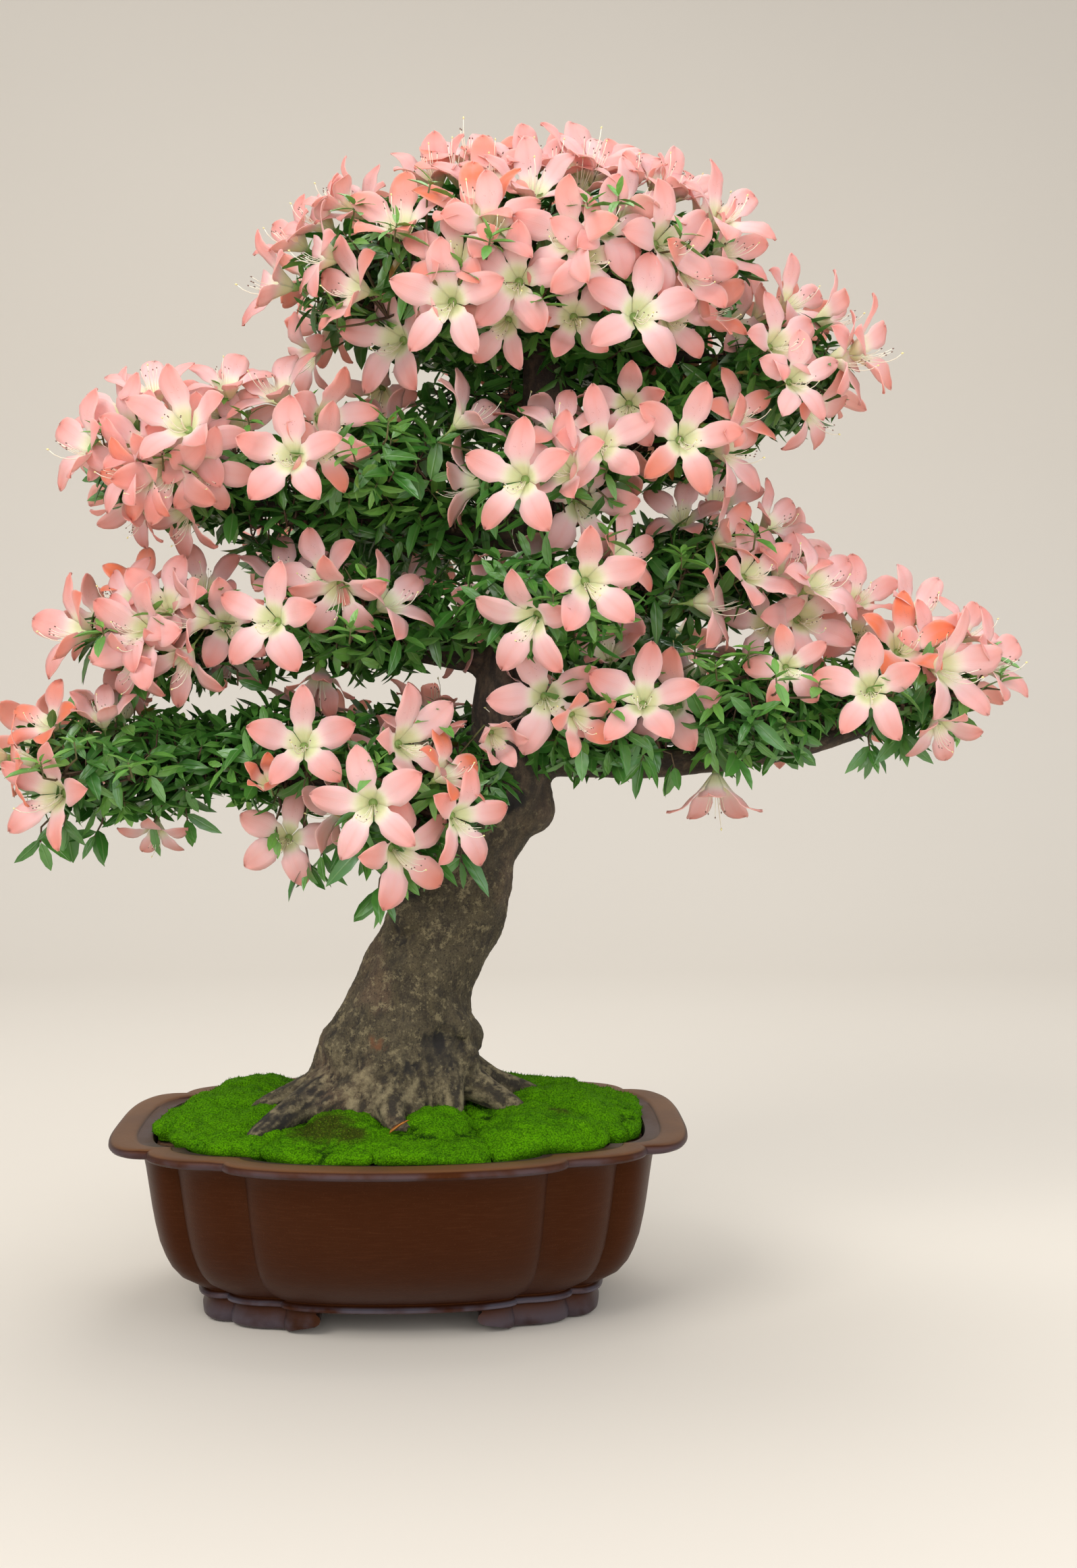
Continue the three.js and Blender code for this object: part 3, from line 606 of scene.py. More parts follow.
# Sections of the body from its underside, out over the lip and down to the floor: height, half width, half depth.
BODY_SECTIONS = [
    (17, 40, 22), (17, 146, 86), (17.2, 150, 90), (18.2, 154.5, 94.5), (19.6, 156.4, 96.4), (21.4, 156.6, 96.6),
    (23, 155, 95), (23.9, 153.2, 93.2), (24.8, 153.2, 93.2), (26, 156.4, 96.4), (29, 161.5, 101.5), (35, 171, 110),
    (43, 177, 118), (51, 180.5, 124.5), (63, 184.5, 131), (77, 187.3, 136), (90, 189.3, 139.6), (105, 191.2, 142.8),
    (120, 193.2, 145.2), (130, 195, 147), (133, 197.5, 149.2), (134.3, 203, 153.5), (135, 211, 159.2),
    (135.7, 216, 162.8), (136.8, 218.8, 165), (138.4, 220, 166), (140.2, 219.8, 165.8), (141.7, 218.6, 164.6),
    (142.7, 216.4, 162.4), (143, 213.5, 159.5), (142.8, 203, 149), (142.3, 200.5, 146.4), (141, 199, 145),
    (140.6, 188, 138), (138, 187, 137), (100, 183, 133), (60, 173, 119), (40, 156, 98), (31, 136, 80), (31, 40, 22),
]
FOOT_SECTIONS = [
    (18.4, 135, 75), (3, 136, 76), (0.6, 136.6, 76.6), (0, 138.5, 78.5), (0, 148, 88), (0.7, 151, 91),
    (2.6, 153, 93), (8, 153.4, 93.4), (13, 151.2, 91.2), (18.4, 150.4, 90.4),
]
FRONT_GAP_HALF = 58
END_GAP_HALF = 14
GAP_REACH = 260  # of a cutter, past both sides of the pot
# How far a foot's scroll stands back from its tip, at each height.
FOOT_SCROLL = [
    (26, -4), (24.5, 0), (21, 2.6), (15, 4.4), (9, 5.6), (4, 7), (1, 9), (0, 11.2), (0.8, 13.6), (3.2, 15.4),
    (3.4, 19),
]
DRAIN_X = 80
DRAIN_RADIUS = 12


def quarter_lobes():
    """A quarter of the pot's outline: half an end lobe, a corner lobe and half a front lobe."""
    (end_x, end_y), (front_x, front_y), (step_x, step_y) = NOTCH_END, NOTCH_FRONT, NOTCH_STEP
    reach_x, reach_y = end_x - front_x - step_x, front_y - end_y - step_y
    end, corner, front = [], [], []
    for a in (math.pi / 2 * i / LOBE_STEPS for i in range(LOBE_STEPS)):
        end.append((end_x + (1 - end_x) * math.cos(a) ** (2 / 3), end_y * math.sin(a) ** (2 / 3)))
        corner.append((front_x + step_x + reach_x * math.cos(a), end_y + reach_y * math.sin(a)))
        front.append((front_x * math.cos(a), front_y + (1 - front_y) * math.sin(a)))
    return end + corner + front + [(0.0, 1.0)]


def lobed_outline():
    quarter = quarter_lobes()
    half = quarter + [(-x, y) for x, y in reversed(quarter[:-1])]
    return half + [(x, -y) for x, y in reversed(half[1:-1])]


def raised_shell(name, sections, ends=True):
    """A lobed shell raised ring by ring from its first section; with ends it is closed, otherwise its rings join."""
    outline = lobed_outline()
    piece = primitive(bpy.ops.mesh.primitive_circle_add, vertices=len(outline), radius=1, location=POT_BASE)
    piece.name = piece.data.name = name
    z, half_x, half_y = sections[0]
    for corner, (x, y) in zip(piece.data.vertices, outline):
        corner.co = from_pot(x * half_x, y * half_y, z)
    bpy.ops.object.mode_set(mode="EDIT")
    bpy.ops.mesh.select_all(action="SELECT")
    if ends:
        bpy.ops.mesh.edge_face_add()
        bpy.ops.mesh.select_all(action="SELECT")
    for (low, x, y), (high, next_x, next_y) in zip(sections, sections[1:]):
        bpy.ops.mesh.extrude_region_move(TRANSFORM_OT_translate={"value": (0, 0, (high - low) * MM)})
        bpy.ops.transform.resize(value=(next_x / x, next_y / y, 1), center_override=POT_BASE)
    if not ends:
        bpy.ops.mesh.select_all(action="DESELECT")
        bpy.ops.mesh.select_non_manifold()
        bpy.ops.mesh.bridge_edge_loops()
    bpy.ops.object.mode_set(mode="OBJECT")
    edited(piece, bpy.ops.mesh.normals_make_consistent, inside=False)
    return piece


def gap_cutter(name, half, along_x):
    """A bar that cuts the gap between two feet right through the foot ring."""
    side = [(half + back, z) for back, z in FOOT_SCROLL]
    outline = side + [(-u, z) for u, z in reversed(side)]
    corners = []
    for w in (-GAP_REACH, GAP_REACH):
        corners += [from_pot(w, u, z) if along_x else from_pot(u, w, z) for u, z in outline]
    count = len(outline)
    faces = [tuple(range(count)), tuple(reversed(range(count, 2 * count)))]
    faces += [(i, i + count, (i + 1) % count + count, (i + 1) % count) for i in range(count)]
    cutter = smoothed(piece_from(name, corners, faces), False)
    edited(cutter, bpy.ops.mesh.normals_make_consistent, inside=False)
    return cutter


def cut_away(piece, cutter):
    apply_modifier(piece, "BOOLEAN", operation="DIFFERENCE", object=cutter, solver="EXACT")
    bpy.data.objects.remove(cutter)


class AZALEA_OT_pot(bpy.types.Operator):
    """Lobed stoneware pot on four scrolled feet"""

    bl_idname = "azalea.pot"
    bl_label = "Pot"

    def execute(self, context):
        body = raised_shell("stoneware_pot", BODY_SECTIONS)
        drain = {"vertices": 32, "radius": DRAIN_RADIUS * MM, "depth": 60 * MM}
        for x in (-DRAIN_X, DRAIN_X):
            cut_away(body, primitive(bpy.ops.mesh.primitive_cylinder_add, location=from_pot(x, 0, 24), **drain))
        feet = raised_shell("feet", FOOT_SECTIONS, ends=False)
        cut_away(feet, gap_cutter("front_gap", FRONT_GAP_HALF, False))
        cut_away(feet, gap_cutter("end_gap", END_GAP_HALF, True))
        apply_modifier(feet, "BEVEL", width=0.0011, segments=2, limit_method="ANGLE", angle_limit=math.radians(50))
        joined(body, feet)
        bpy.ops.object.shade_smooth_by_angle(angle=math.radians(38))
        settle(body, "stoneware", "pot", looks=[stoneware_look(context.scene.azalea.pot)])
        return {"FINISHED"}


# ---------------------------------------------------------------- soil and drainage
class AZALEA_OT_fillings(bpy.types.Operator):
    """Finishes of the soil, the drain screens and their copper clips"""

    bl_idname = "azalea.fillings"
    bl_label = "Soil and drainage"

    def execute(self, context):
        soil = grainy_look("akadama_soil", paint(58, 38, 24), paint(128, 86, 56), 160, 0.9, 0.002)
        screen = grainy_look("screen", paint(30, 32, 36), paint(62, 64, 70), 240, 0.6, 0.0003)
        copper = grainy_look("copper", paint(120, 70, 42), paint(176, 116, 80), 300, 0.4, 0.0002, metallic=0.9)
        looks = {"soil": soil, "drain_screen": screen, "screen_clip": copper}
        for name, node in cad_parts.items():
            for start, look in looks.items():
                if name.startswith(start):
                    node.data.materials.clear()
                    node.data.materials.append(look)
        return {"FINISHED"}


# ---------------------------------------------------------------- moss
# Darker, drier patches of moss: x, y from the pot's middle and radius, in millimetres.
DARK_MOSS = [(-56, -90, 26), (-34, -104, 14), (120, -60, 9)]
MOSS_CELL = 0.0025
MOSS_RISES_ABOVE = 0.139  # below this height it stays as the frame has it
TUFT_FOOT = 0.0006  # a tuft's half width, and how deep it stands in the moss
TUFTED_SHARE = 0.55  # of the corners of the moss


def moss_base(node):
    """A loose, welded copy of a frame node, remeshed fine and evened out."""
    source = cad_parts[node]
    piece = source.copy()
    piece.data = source.data.copy()
    for key in list(piece.keys()):
        del piece[key]
    piece.parent = None
    bpy.context.scene.collection.objects.link(piece)
    piece.name = piece.data.name = node + "_tufted"
    piece.data.materials.clear()
    edited(piece, bpy.ops.mesh.remove_doubles, threshold=1e-5)
    apply_modifier(piece, "REMESH", mode="VOXEL", voxel_size=MOSS_CELL)
    apply_modifier(piece, "SMOOTH", factor=0.6, iterations=12)
    return piece


def moss_cushion(node, sizes):
    """A cushion of moss over its frame node, lumpy and set with tufts."""
    piece = moss_base(node)
    places, normals = corners_of(piece), normals_of(piece)
    upper = np.clip((normals[:, 2] + 0.15) / 0.6, 0, 1) * (places[:, 2] > MOSS_RISES_ABOVE)
    mounds = np.abs(fields(places, 12, 3.0, 1))
    lumps = np.abs(fields(places, 52, 6.0, 2))
    small = fields(places, 190, 9.0, 2)
    tips = fields(places, 520, 5.0, 2)
    rise = -2.0 + 20.0 * np.minimum(mounds, 0.5) + 5.0 * np.minimum(lumps, 0.5) + 0.7 * small + 0.6 * tips
    places += normals * (upper * rise * MM)[:, None]
    piece.data.vertices.foreach_set("co", places.ravel())
    # relief sets the painted light on the mound tops and the painted shade in the hollows
    relief = np.clip(0.08 + 2.2 * mounds + 1.3 * lumps + 0.3 * small + 0.35 * tips, 0, 1)
    dark = np.zeros(len(places))
    for x, y, radius in DARK_MOSS:
        spot = from_pot(x, y, 0)
        away = np.hypot(places[:, 0] - spot.x, places[:, 1] - spot.y) / (radius * MM) + 0.35 * small
        dark = np.maximum(dark, np.clip(1.35 - away, 0, 1))
    give(piece, "relief", relief)
    give(piece, "dark", dark)
    tufts = Pile()
    chance = np.random.default_rng(len(node) * 7 + int(places[0, 0] * 1e5) % 97)
    for i in np.flatnonzero((upper > 0.6) & (chance.random(len(places)) < TUFTED_SHARE)):
        lean = unit(normals[i] + chance.normal(0, 0.32, 3))
        side = np.cross(lean, (0.3, 0.9, 0.1))
        side *= TUFT_FOOT / np.linalg.norm(side)
        other = np.cross(lean, side)
        foot = places[i] - normals[i] * TUFT_FOOT
        tip = foot + lean * sizes.tuft * chance.uniform(0.6, 1.35)
        ring = [foot + side, foot - 0.5 * side + 0.87 * other, foot - 0.5 * side - 0.87 * other, tip]
        # painted shade at the foot of each tuft, painted light at its tip
        shade = relief[i] + np.array([-0.15, -0.15, -0.15, 0.35])
        tufts.add(np.array(ring), [(0, 1, 3), (1, 2, 3), (2, 0, 3), (2, 1, 0)], relief=shade, dark=dark[i])
    return smoothed(joined(piece, tufts.piece("tufts")))


class AZALEA_OT_moss(bpy.types.Operator):
    """Nine mounds of moss between the rim and the roots"""

    bl_idname = "azalea.moss"
    bl_label = "Moss"

    def execute(self, context):
        sizes = context.scene.azalea.moss
        look = moss_look(sizes)
        for node in sorted(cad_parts):
            if node.startswith("moss_"):
                settle(moss_cushion(node, sizes), "moss", node, looks=[look])
        return {"FINISHED"}


class AZALEA_OT_fallen_leaf(bpy.types.Operator):
    """A dry orange leaf that lies on the front moss"""

    bl_idname = "azalea.fallen_leaf"
    bl_label = "Fallen leaf"

    def execute(self, context):
        above = from_pot(-6, -103, 0) + Vector((0, 0, 0.3))
        hit, spot, *_ = bpy.data.objects["moss_front_tufted"].ray_cast(above, Vector((0, 0, -1)))
        if not hit:
            raise RuntimeError("the fallen leaf found no moss under it")
        corners, faces, blade = leaf_template(0.2, 0.4, 0.12)
        turn = Euler((0.5, -0.35, math.radians(-58))).to_matrix()
        places = [spot + Vector((0, 0, 0.0024)) + turn @ (Vector(c) * 0.021) for c in corners]
        pile = Pile()
        pile.add(np.array(places), faces, blade)
        look = grainy_look("dry_leaf", paint(176, 92, 26), paint(232, 150, 62), 220, 0.6, 0.0004)
        settle(pile.piece("fallen_leaf"), "leaves", looks=[look])
        return {"FINISHED"}


# ---------------------------------------------------------------- wood
# Stations along each limb: x, y, z from the pot's base and the wood's radius, in millimetres.
TRUNK = [
    (-20, 0, 112, 52), (-14, 0, 150, 65), (-9, 0, 176, 61), (-5, 0, 198, 56), (4, 0, 224, 51), (12, 0, 251, 45),
    (25, 0, 277, 42), (40, 0, 303, 40), (51, 0, 330, 36.5), (57, 0, 356, 34), (70, 0, 382, 35), (82, -4, 409, 33),
    (83, -2, 440, 29), (80, 0, 472, 25), (84, 4, 506, 22.5), (95, 6, 560, 21.5), (104, 4, 620, 20.5),
    (110, 0, 677, 19.5), (113, -4, 719, 18), (108, -6, 751, 14), (100, -4, 785, 9), (94, 0, 822, 5),
]
ROOTS = [
    [
        (-30, -8, 200, 24), (-50, -22, 176, 17), (-78, -54, 163, 12), (-94, -76, 155, 10), (-105, -91, 150, 8),
        (-110, -98, 138, 4),
    ],
    [(-30, 4, 196, 22), (-62, -8, 172, 14), (-98, -22, 159, 10), (-114, -27, 151, 7), (-121, -30, 138, 4)],
    [(-20, -20, 196, 22), (-30, -44, 170, 12), (-34, -62, 156, 8), (-37, -73, 148, 6), (-38, -77, 136, 4)],
    [(0, -20, 198, 24), (-8, -52, 171, 14), (-3, -76, 156, 9), (7, -87, 148, 7), (11, -92, 136, 4)],
    [(20, -8, 196, 24), (56, -22, 173, 14), (82, -31, 160, 10), (96, -41, 150, 7), (101, -46, 136, 4)],
    [(26, 6, 196, 22), (60, 10, 174, 13), (96, 18, 159, 9), (116, 26, 149, 6), (122, 29, 136, 4)],
    [(-20, 16, 194, 22), (-44, 42, 168, 13), (-86, 72, 154, 7), (-96, 78, 136, 4)],
    [(16, 16, 196, 22), (28, 48, 168, 12), (40, 96, 152, 7), (42, 104, 136, 4)],
    [(22, -24, 214, 20), (34, -38, 182, 14), (40, -52, 160, 9), (38, -62, 147, 5)],
    [(-2, -26, 222, 18), (-18, -42, 188, 12), (-56, -52, 164, 8), (-80, -52, 150, 6), (-86, -52, 138, 4)],
]
BRANCHES = [
    [(84, -2, 428, 19), (130, -14, 424, 15), (215, -18, 422, 12), (320, -12, 436, 9), (396, -6, 462, 4)],
    [(150, -16, 424, 9), (144, -40, 440, 6), (140, -62, 450, 4)],
    [(270, -15, 430, 7), (276, -40, 446, 5), (270, -60, 458, 3)],
    [(340, -10, 440, 6), (386, -34, 460, 4), (410, -44, 474, 3)],
    [(82, 0, 436, 17), (40, -10, 422, 13), (-30, -15, 414, 10), (-120, -15, 410, 8), (-236, -18, 412, 4)],
    [(40, -10, 422, 10), (24, -50, 404, 7), (8, -92, 394, 4)],
    [(82, 2, 494, 15), (40, 4, 504, 11), (-40, 0, 512, 9), (-130, 0, 510, 7), (-204, 0, 512, 3.5)],
    [(100, 4, 590, 16), (50, 0, 604, 12), (0, 0, 612, 10), (-90, 0, 616, 8), (-192, 0, 630, 4)],
    [(-60, 0, 614, 7), (-56, -30, 628, 5), (-50, -52, 640, 3)],
    [(90, 5, 540, 13), (140, 12, 554, 9), (200, 20, 564, 7), (258, 20, 572, 4)],
    [(108, 0, 650, 12), (150, -8, 660, 8), (195, -15, 668, 6), (228, -18, 676, 3.5)],
    [(106, -6, 625, 12), (110, -40, 630, 7), (114, -80, 636, 3.5)],
    [(92, -6, 540, 13), (104, -42, 544, 7), (112, -86, 548, 3.5)],
    [(112, -4, 730, 12), (70, -5, 744, 8), (20, -3, 758, 6), (-32, 0, 772, 3.5)],
    [(113, -4, 722, 12), (155, -3, 730, 9), (215, 0, 732, 6), (292, 0, 726, 3.5)],
    [(112, -6, 735, 10), (106, -46, 748, 6), (96, -88, 762, 3.5)],
    [(110, -2, 740, 10), (106, 46, 756, 6), (96, 92, 772, 3.5)],
    [(100, 8, 596, 12), (50, 60, 592, 8), (-30, 122, 588, 4)],
    [(90, 8, 522, 12), (122, 66, 520, 8), (148, 118, 520, 4)],
    [(82, 6, 450, 13), (60, 60, 438, 8), (26, 104, 432, 4)],
]
STEPS_BETWEEN_STATIONS = 6
# Lumps grown out of the wood: x, y, z and radius.
KNOBS = [
    (99, -6, 386, 21), (4, -12, 300, 15), (40, -6, 207, 22), (38, 14, 392, 18), (106, -10, 398, 13),
    (94, -14, 374, 12), (8, -26, 306, 15), (-46, -22, 204, 15), (36, -24, 222, 16), (60, -20, 346, 13),
    (20, -34, 244, 13), (-12, -38, 214, 14), (74, -22, 398, 14), (48, -26, 194, 13), (-26, -34, 188, 13),
]
# Old cuts and hollows sunk into the wood and darkened with painted shade: x, y, z, radius and depth.
HOLLOWS = [(-4, -42, 290, 9, 5), (30, -48, 211, 9, 4), (88, -34, 392, 9, 4)]
# Stains on the bark: x, y, z, radius, and how dark and how rusty.
STAINS = [
    (30, -46, 204, 22, 0.55, 0), (2, -46, 192, 12, 0.7, 0), (-17, -50, 211, 7.5, 0, 0.8),
    (-70, -46, 168, 20, 0.6, 0), (-96, -80, 156, 20, 0.75, 0), (-112, -104, 146, 16, 0.7, 0),
    (-10, -40, 270, 14, 0.35, 0), (40, -34, 300, 22, 0.25, 0), (-38, -36, 230, 14, 0.3, 0),
    (12, -44, 226, 14, 0.3, 0), (70, -30, 350, 26, 0.35, 0),
]
BLOCK = 4000  # corners compared with the limbs at one time
FOOT_HEIGHT, FOOT_FADES_OVER = 0.225, 0.05  # below this height the bark is rougher
OLD_WOOD = 0.03  # a limb of this radius has fully rough bark


def limb_lines():
    """Every limb as smooth rows of place and radius in metres, in the row frame."""
    lines = []
    for stations in [TRUNK, *ROOTS, *BRANCHES]:
        line = smooth_line(stations, STEPS_BETWEEN_STATIONS) * MM
        line[:, :3] += np.array(POT_BASE)
        lines.append(line)
    return lines


def wood_shell(lines):
    """The limbs as tapered curves and the lumps as balls, before they are melted into one."""
    curve = bpy.data.curves.new("limbs", "CURVE")
    curve.dimensions, curve.bevel_depth, curve.bevel_resolution = "3D", 1.0, 5
    curve.use_fill_caps = True
    for line in lines:
        spline = curve.splines.new("POLY")
        spline.points.add(len(line) - 1)
        for point, (x, y, z, radius) in zip(spline.points, line):
            point.co, point.radius = (x, y, z, 1.0), radius
    wood = bpy.data.objects.new("living_wood", curve)
    bpy.context.scene.collection.objects.link(wood)
    made_active(wood)
    bpy.ops.object.convert(target="MESH")
    wood = bpy.context.object
    for x, y, z, radius in KNOBS:
        ball = {"subdivisions": 3, "radius": radius * MM, "location": from_pot(x, y, z)}
        joined(wood, primitive(bpy.ops.mesh.primitive_ico_sphere_add, **ball))
    return wood


def flow_along(places, lines):
    """Each corner's place around and along its limb, as noise needs it, and the limb's radius there."""
    spine = np.vstack(lines)
    ways = unit(np.vstack([np.gradient(line[:, :3], axis=0) for line in lines]), 1e-12)
    steps = [np.linalg.norm(np.diff(line[:, :3], axis=0), axis=1) for line in lines]
    run = np.concatenate([np.concatenate([[0], np.cumsum(step)]) for step in steps])
    nearest = np.zeros(len(places), int)
    for start in range(0, len(places), BLOCK):
        block = places[start : start + BLOCK]
        gap = np.linalg.norm(block[:, None] - spine[None, :, :3], axis=2) / (spine[None, :, 3] + 0.004)
        nearest[start : start + BLOCK] = gap.argmin(1)
    out = places - spine[nearest, :3]
    way, radius = ways[nearest], spine[nearest, 3]
    side = unit(np.cross(way, (0.0, 1.0, 0.12)), 1e-9)
    other = np.cross(way, side)
    around = np.arctan2((out * other).sum(1), (out * side).sum(1))
    along = run[nearest] + (out * way).sum(1)
    twist = around + along * 5.0
    return np.stack([np.cos(twist) * radius, np.sin(twist) * radius, along], 1), radius


def shape_bark(wood, lines):
    """Ridges that run along each limb, lumps, cracks and hollows, with painted shade in the hollows; each corner
    keeps its flow and relief.
    """
    places, normals = corners_of(wood), normals_of(wood)
    flow, radius = flow_along(places, lines)
    ridges = fields(flow * (1, 1, 0.22), 95, 2.0, 4)
    cracks = fields(flow * (1, 1, 0.3), 260, 7.0, 3)
    lumps = fields(places, 20, 4.0, 2)
    grit = fields(places, 420, 1.0, 2)
    old = np.clip(radius / OLD_WOOD, 0.12, 1.35)
    pits = np.clip(-cracks - 0.12, 0, 1)
    foot = np.clip((FOOT_HEIGHT - places[:, 2]) / FOOT_FADES_OVER, 0, 1)
    relief = 4.2 * lumps + (0.45 + 1.3 * foot) * ridges - (0.6 + 2.0 * foot) * pits + 0.3 * grit
    places += normals * (relief * old * MM)[:, None]

    def away(x, y, z, width):
        return np.linalg.norm(places - np.array(from_pot(x, y, z)), axis=1) / (width * MM)

    dark, rust = np.zeros(len(places)), np.zeros(len(places))
    for *spot, darker, rustier in STAINS:
        strength = np.clip(1.6 - 1.3 * (away(*spot) + 0.8 * cracks), 0, 1)
        dark = np.maximum(dark, strength * darker)
        rust = np.maximum(rust, strength * rustier)
    for *spot, depth in HOLLOWS:
        sink = np.clip(1.25 - (away(*spot) + 0.35 * cracks), 0, 1)
        places -= normals * (sink * depth * MM)[:, None]
        # painted shade inside each hollow
        dark = np.maximum(dark, np.clip(sink * 1.6, 0, 1))
    wood.data.vertices.foreach_set("co", places.ravel())
    # relief as the bark's colour uses it: low in pits and grooves for painted shade, high on the flare's ridges for
    # the painted highlight
    shown = 0.62 + (0.2 + 0.4 * foot) * ridges - (0.6 + 1.2 * foot) * pits + 0.2 * grit
    give(wood, "flow", flow, "FLOAT_VECTOR")
    give(wood, "relief", np.clip(shown, 0, 1))
    give(wood, "dark", dark)
    give(wood, "rust", rust)


class AZALEA_OT_wood(bpy.types.Operator):
    """Roots, trunk and branches melted into one piece of wood with its bark"""

    bl_idname = "azalea.wood"
    bl_label = "Wood"

    def execute(self, context):
        sizes = context.scene.azalea.wood
        lines = limb_lines()
        wood = wood_shell(lines)
        apply_modifier(wood, "REMESH", mode="VOXEL", voxel_size=sizes.cell)
        apply_modifier(wood, "SMOOTH", factor=0.5, iterations=8)
        shape_bark(wood, lines)
        settle(smoothed(wood), "bark", "trunk_and_branches", looks=[bark_look(sizes)])
        return {"FINISHED"}


# ---------------------------------------------------------------- where the pads, shoots and blooms are
# Shoots that hang below a pad: tip from the pot's base in millimetres, and how young.
HANGING = {
    "front_low": [
        (2, -112, 343, 0.9), (-13, -108, 330, 0.3), (-22, -104, 360, 0.2), (20, -110, 356, 0.4), (46, -88, 352, 0.2),
    ],
    "low_inner": [(-59, -40, 352, 0.3), (-68, -36, 343, 0.1), (-92, -34, 366, 0.85), (-40, -40, 364, 0.2)],
    "low_outer": [
        (-250, -40, 375, 0.3), (-270, -30, 362, 0.1), (-230, -30, 366, 0.1), (-187, -30, 374, 0.4),
        (-160, -30, 378, 0.2),
    ],
    "lower_right_middle": [(299, -50, 432, 0.3), (252, -60, 423, 0.2), (232, -60, 430, 0.85)],
    "lower_right_outer": [(357, -40, 430, 0.3), (427, -30, 452, 0.85), (384, -30, 440, 0.2)],
    "third_outer": [(-122, -40, 606, 0.2), (-145, -40, 603, 0.2), (-186, -40, 606, 0.3)],
    "second_outer": [(-120, -40, 480, 0.2), (-198, -40, 486, 0.2)],
    "lower_right_inner": [(206, -60, 418, 0.2), (180, -70, 424, 0.3)],
}
HANGING_FACES = (0.1, -0.8, 0.35)  # which way their leaves look
# New shoots that stand before the blooms: across and down in the camera's frame.
SHOOTS_BEFORE = {
    "crown": [
        (525, 300), (588, 331), (683, 395), (727, 350), (639, 268), (803, 439), (917, 290), (1010, 345), (500, 460),
        (870, 300),
    ],
    "third_outer": [(331, 578), (367, 617), (240, 668), (150, 640)],
    "third_inner": [(424, 668), (576, 624), (520, 660), (450, 600)],
    "second_inner": [(543, 855), (400, 870), (520, 930)],
    "second_outer": [(225, 905), (152, 930), (330, 880)],
    "low_outer": [(190, 1130), (110, 1100), (60, 1130)],
    "centre_lower": [(900, 790), (820, 880)],
    "right_mid": [(1010, 820), (1120, 790)],
    "lower_right_inner": [(1030, 960), (985, 1000), (905, 1040), (870, 1000)],
    "lower_right_middle": [(1110, 960), (1060, 985), (1150, 1000), (1215, 1010)],
    "lower_right_outer": [(1330, 1010), (1465, 960), (1482, 1000)],
    "front_low": [(560, 1130), (650, 1060)],
}
SHOOT_STANDS_OFF = 0.026  # tip above the pad
PAD_WAIST = 0.42  # how far up its box a pad is widest
CAMERA_PLACE = from_pot(48.7, -1463.0, 487.2)
CAMERA_TURN = 2.27  # degrees to the right of straight ahead
CAMERA_DROP = 3.27  # degrees below level
FRAME_WIDE, FRAME_HIGH = 1596, 2324
FOCAL = 2800  # in pixels of that frame
SIGHT_STARTS, SIGHT_ENDS, SIGHT_STEP = 1.0, 1.9, 0.001  # metres from the camera within which the tree stands

Pad = namedtuple("Pad", "name heart reach up down")
Bloom = namedtuple("Bloom", "throat axis size open tint roll")


def pad_of(node):
    """A pad as an ellipsoid with its own rise and drop, from its frame node."""
    low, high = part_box(node)
    heart = Vector(((low.x + high.x) / 2, (low.y + high.y) / 2, low.z + (high.z - low.z) * PAD_WAIST))
    return Pad(node[len("leaves_"):], heart, (high - low) / 2, high.z - heart.z, heart.z - low.z)


PADS = {pad.name: pad for pad in map(pad_of, sorted(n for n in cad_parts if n.startswith("leaves_")))}
# Looser foliage on the branches between the pads: middle, then half width, half depth, rise and drop; millimetres.
BETWEEN_PADS = [
    (68, 34, 700, 48, 40, 26, 22), (36, 4, 604, 52, 45, 22, 22), (-80, 6, 606, 62, 45, 16, 22),
    (48, 0, 532, 46, 45, 34, 24), (196, 10, 556, 46, 50, 44, 34), (160, 4, 728, 64, 60, 22, 22),
    (-140, -8, 428, 66, 50, 24, 22), (262, 6, 712, 50, 50, 34, 32), (200, -6, 462, 60, 50, 24, 22),
    (-120, 4, 506, 40, 50, 20, 18), (330, 0, 468, 40, 50, 22, 18), (20, -50, 408, 60, 44, 34, 26),
]

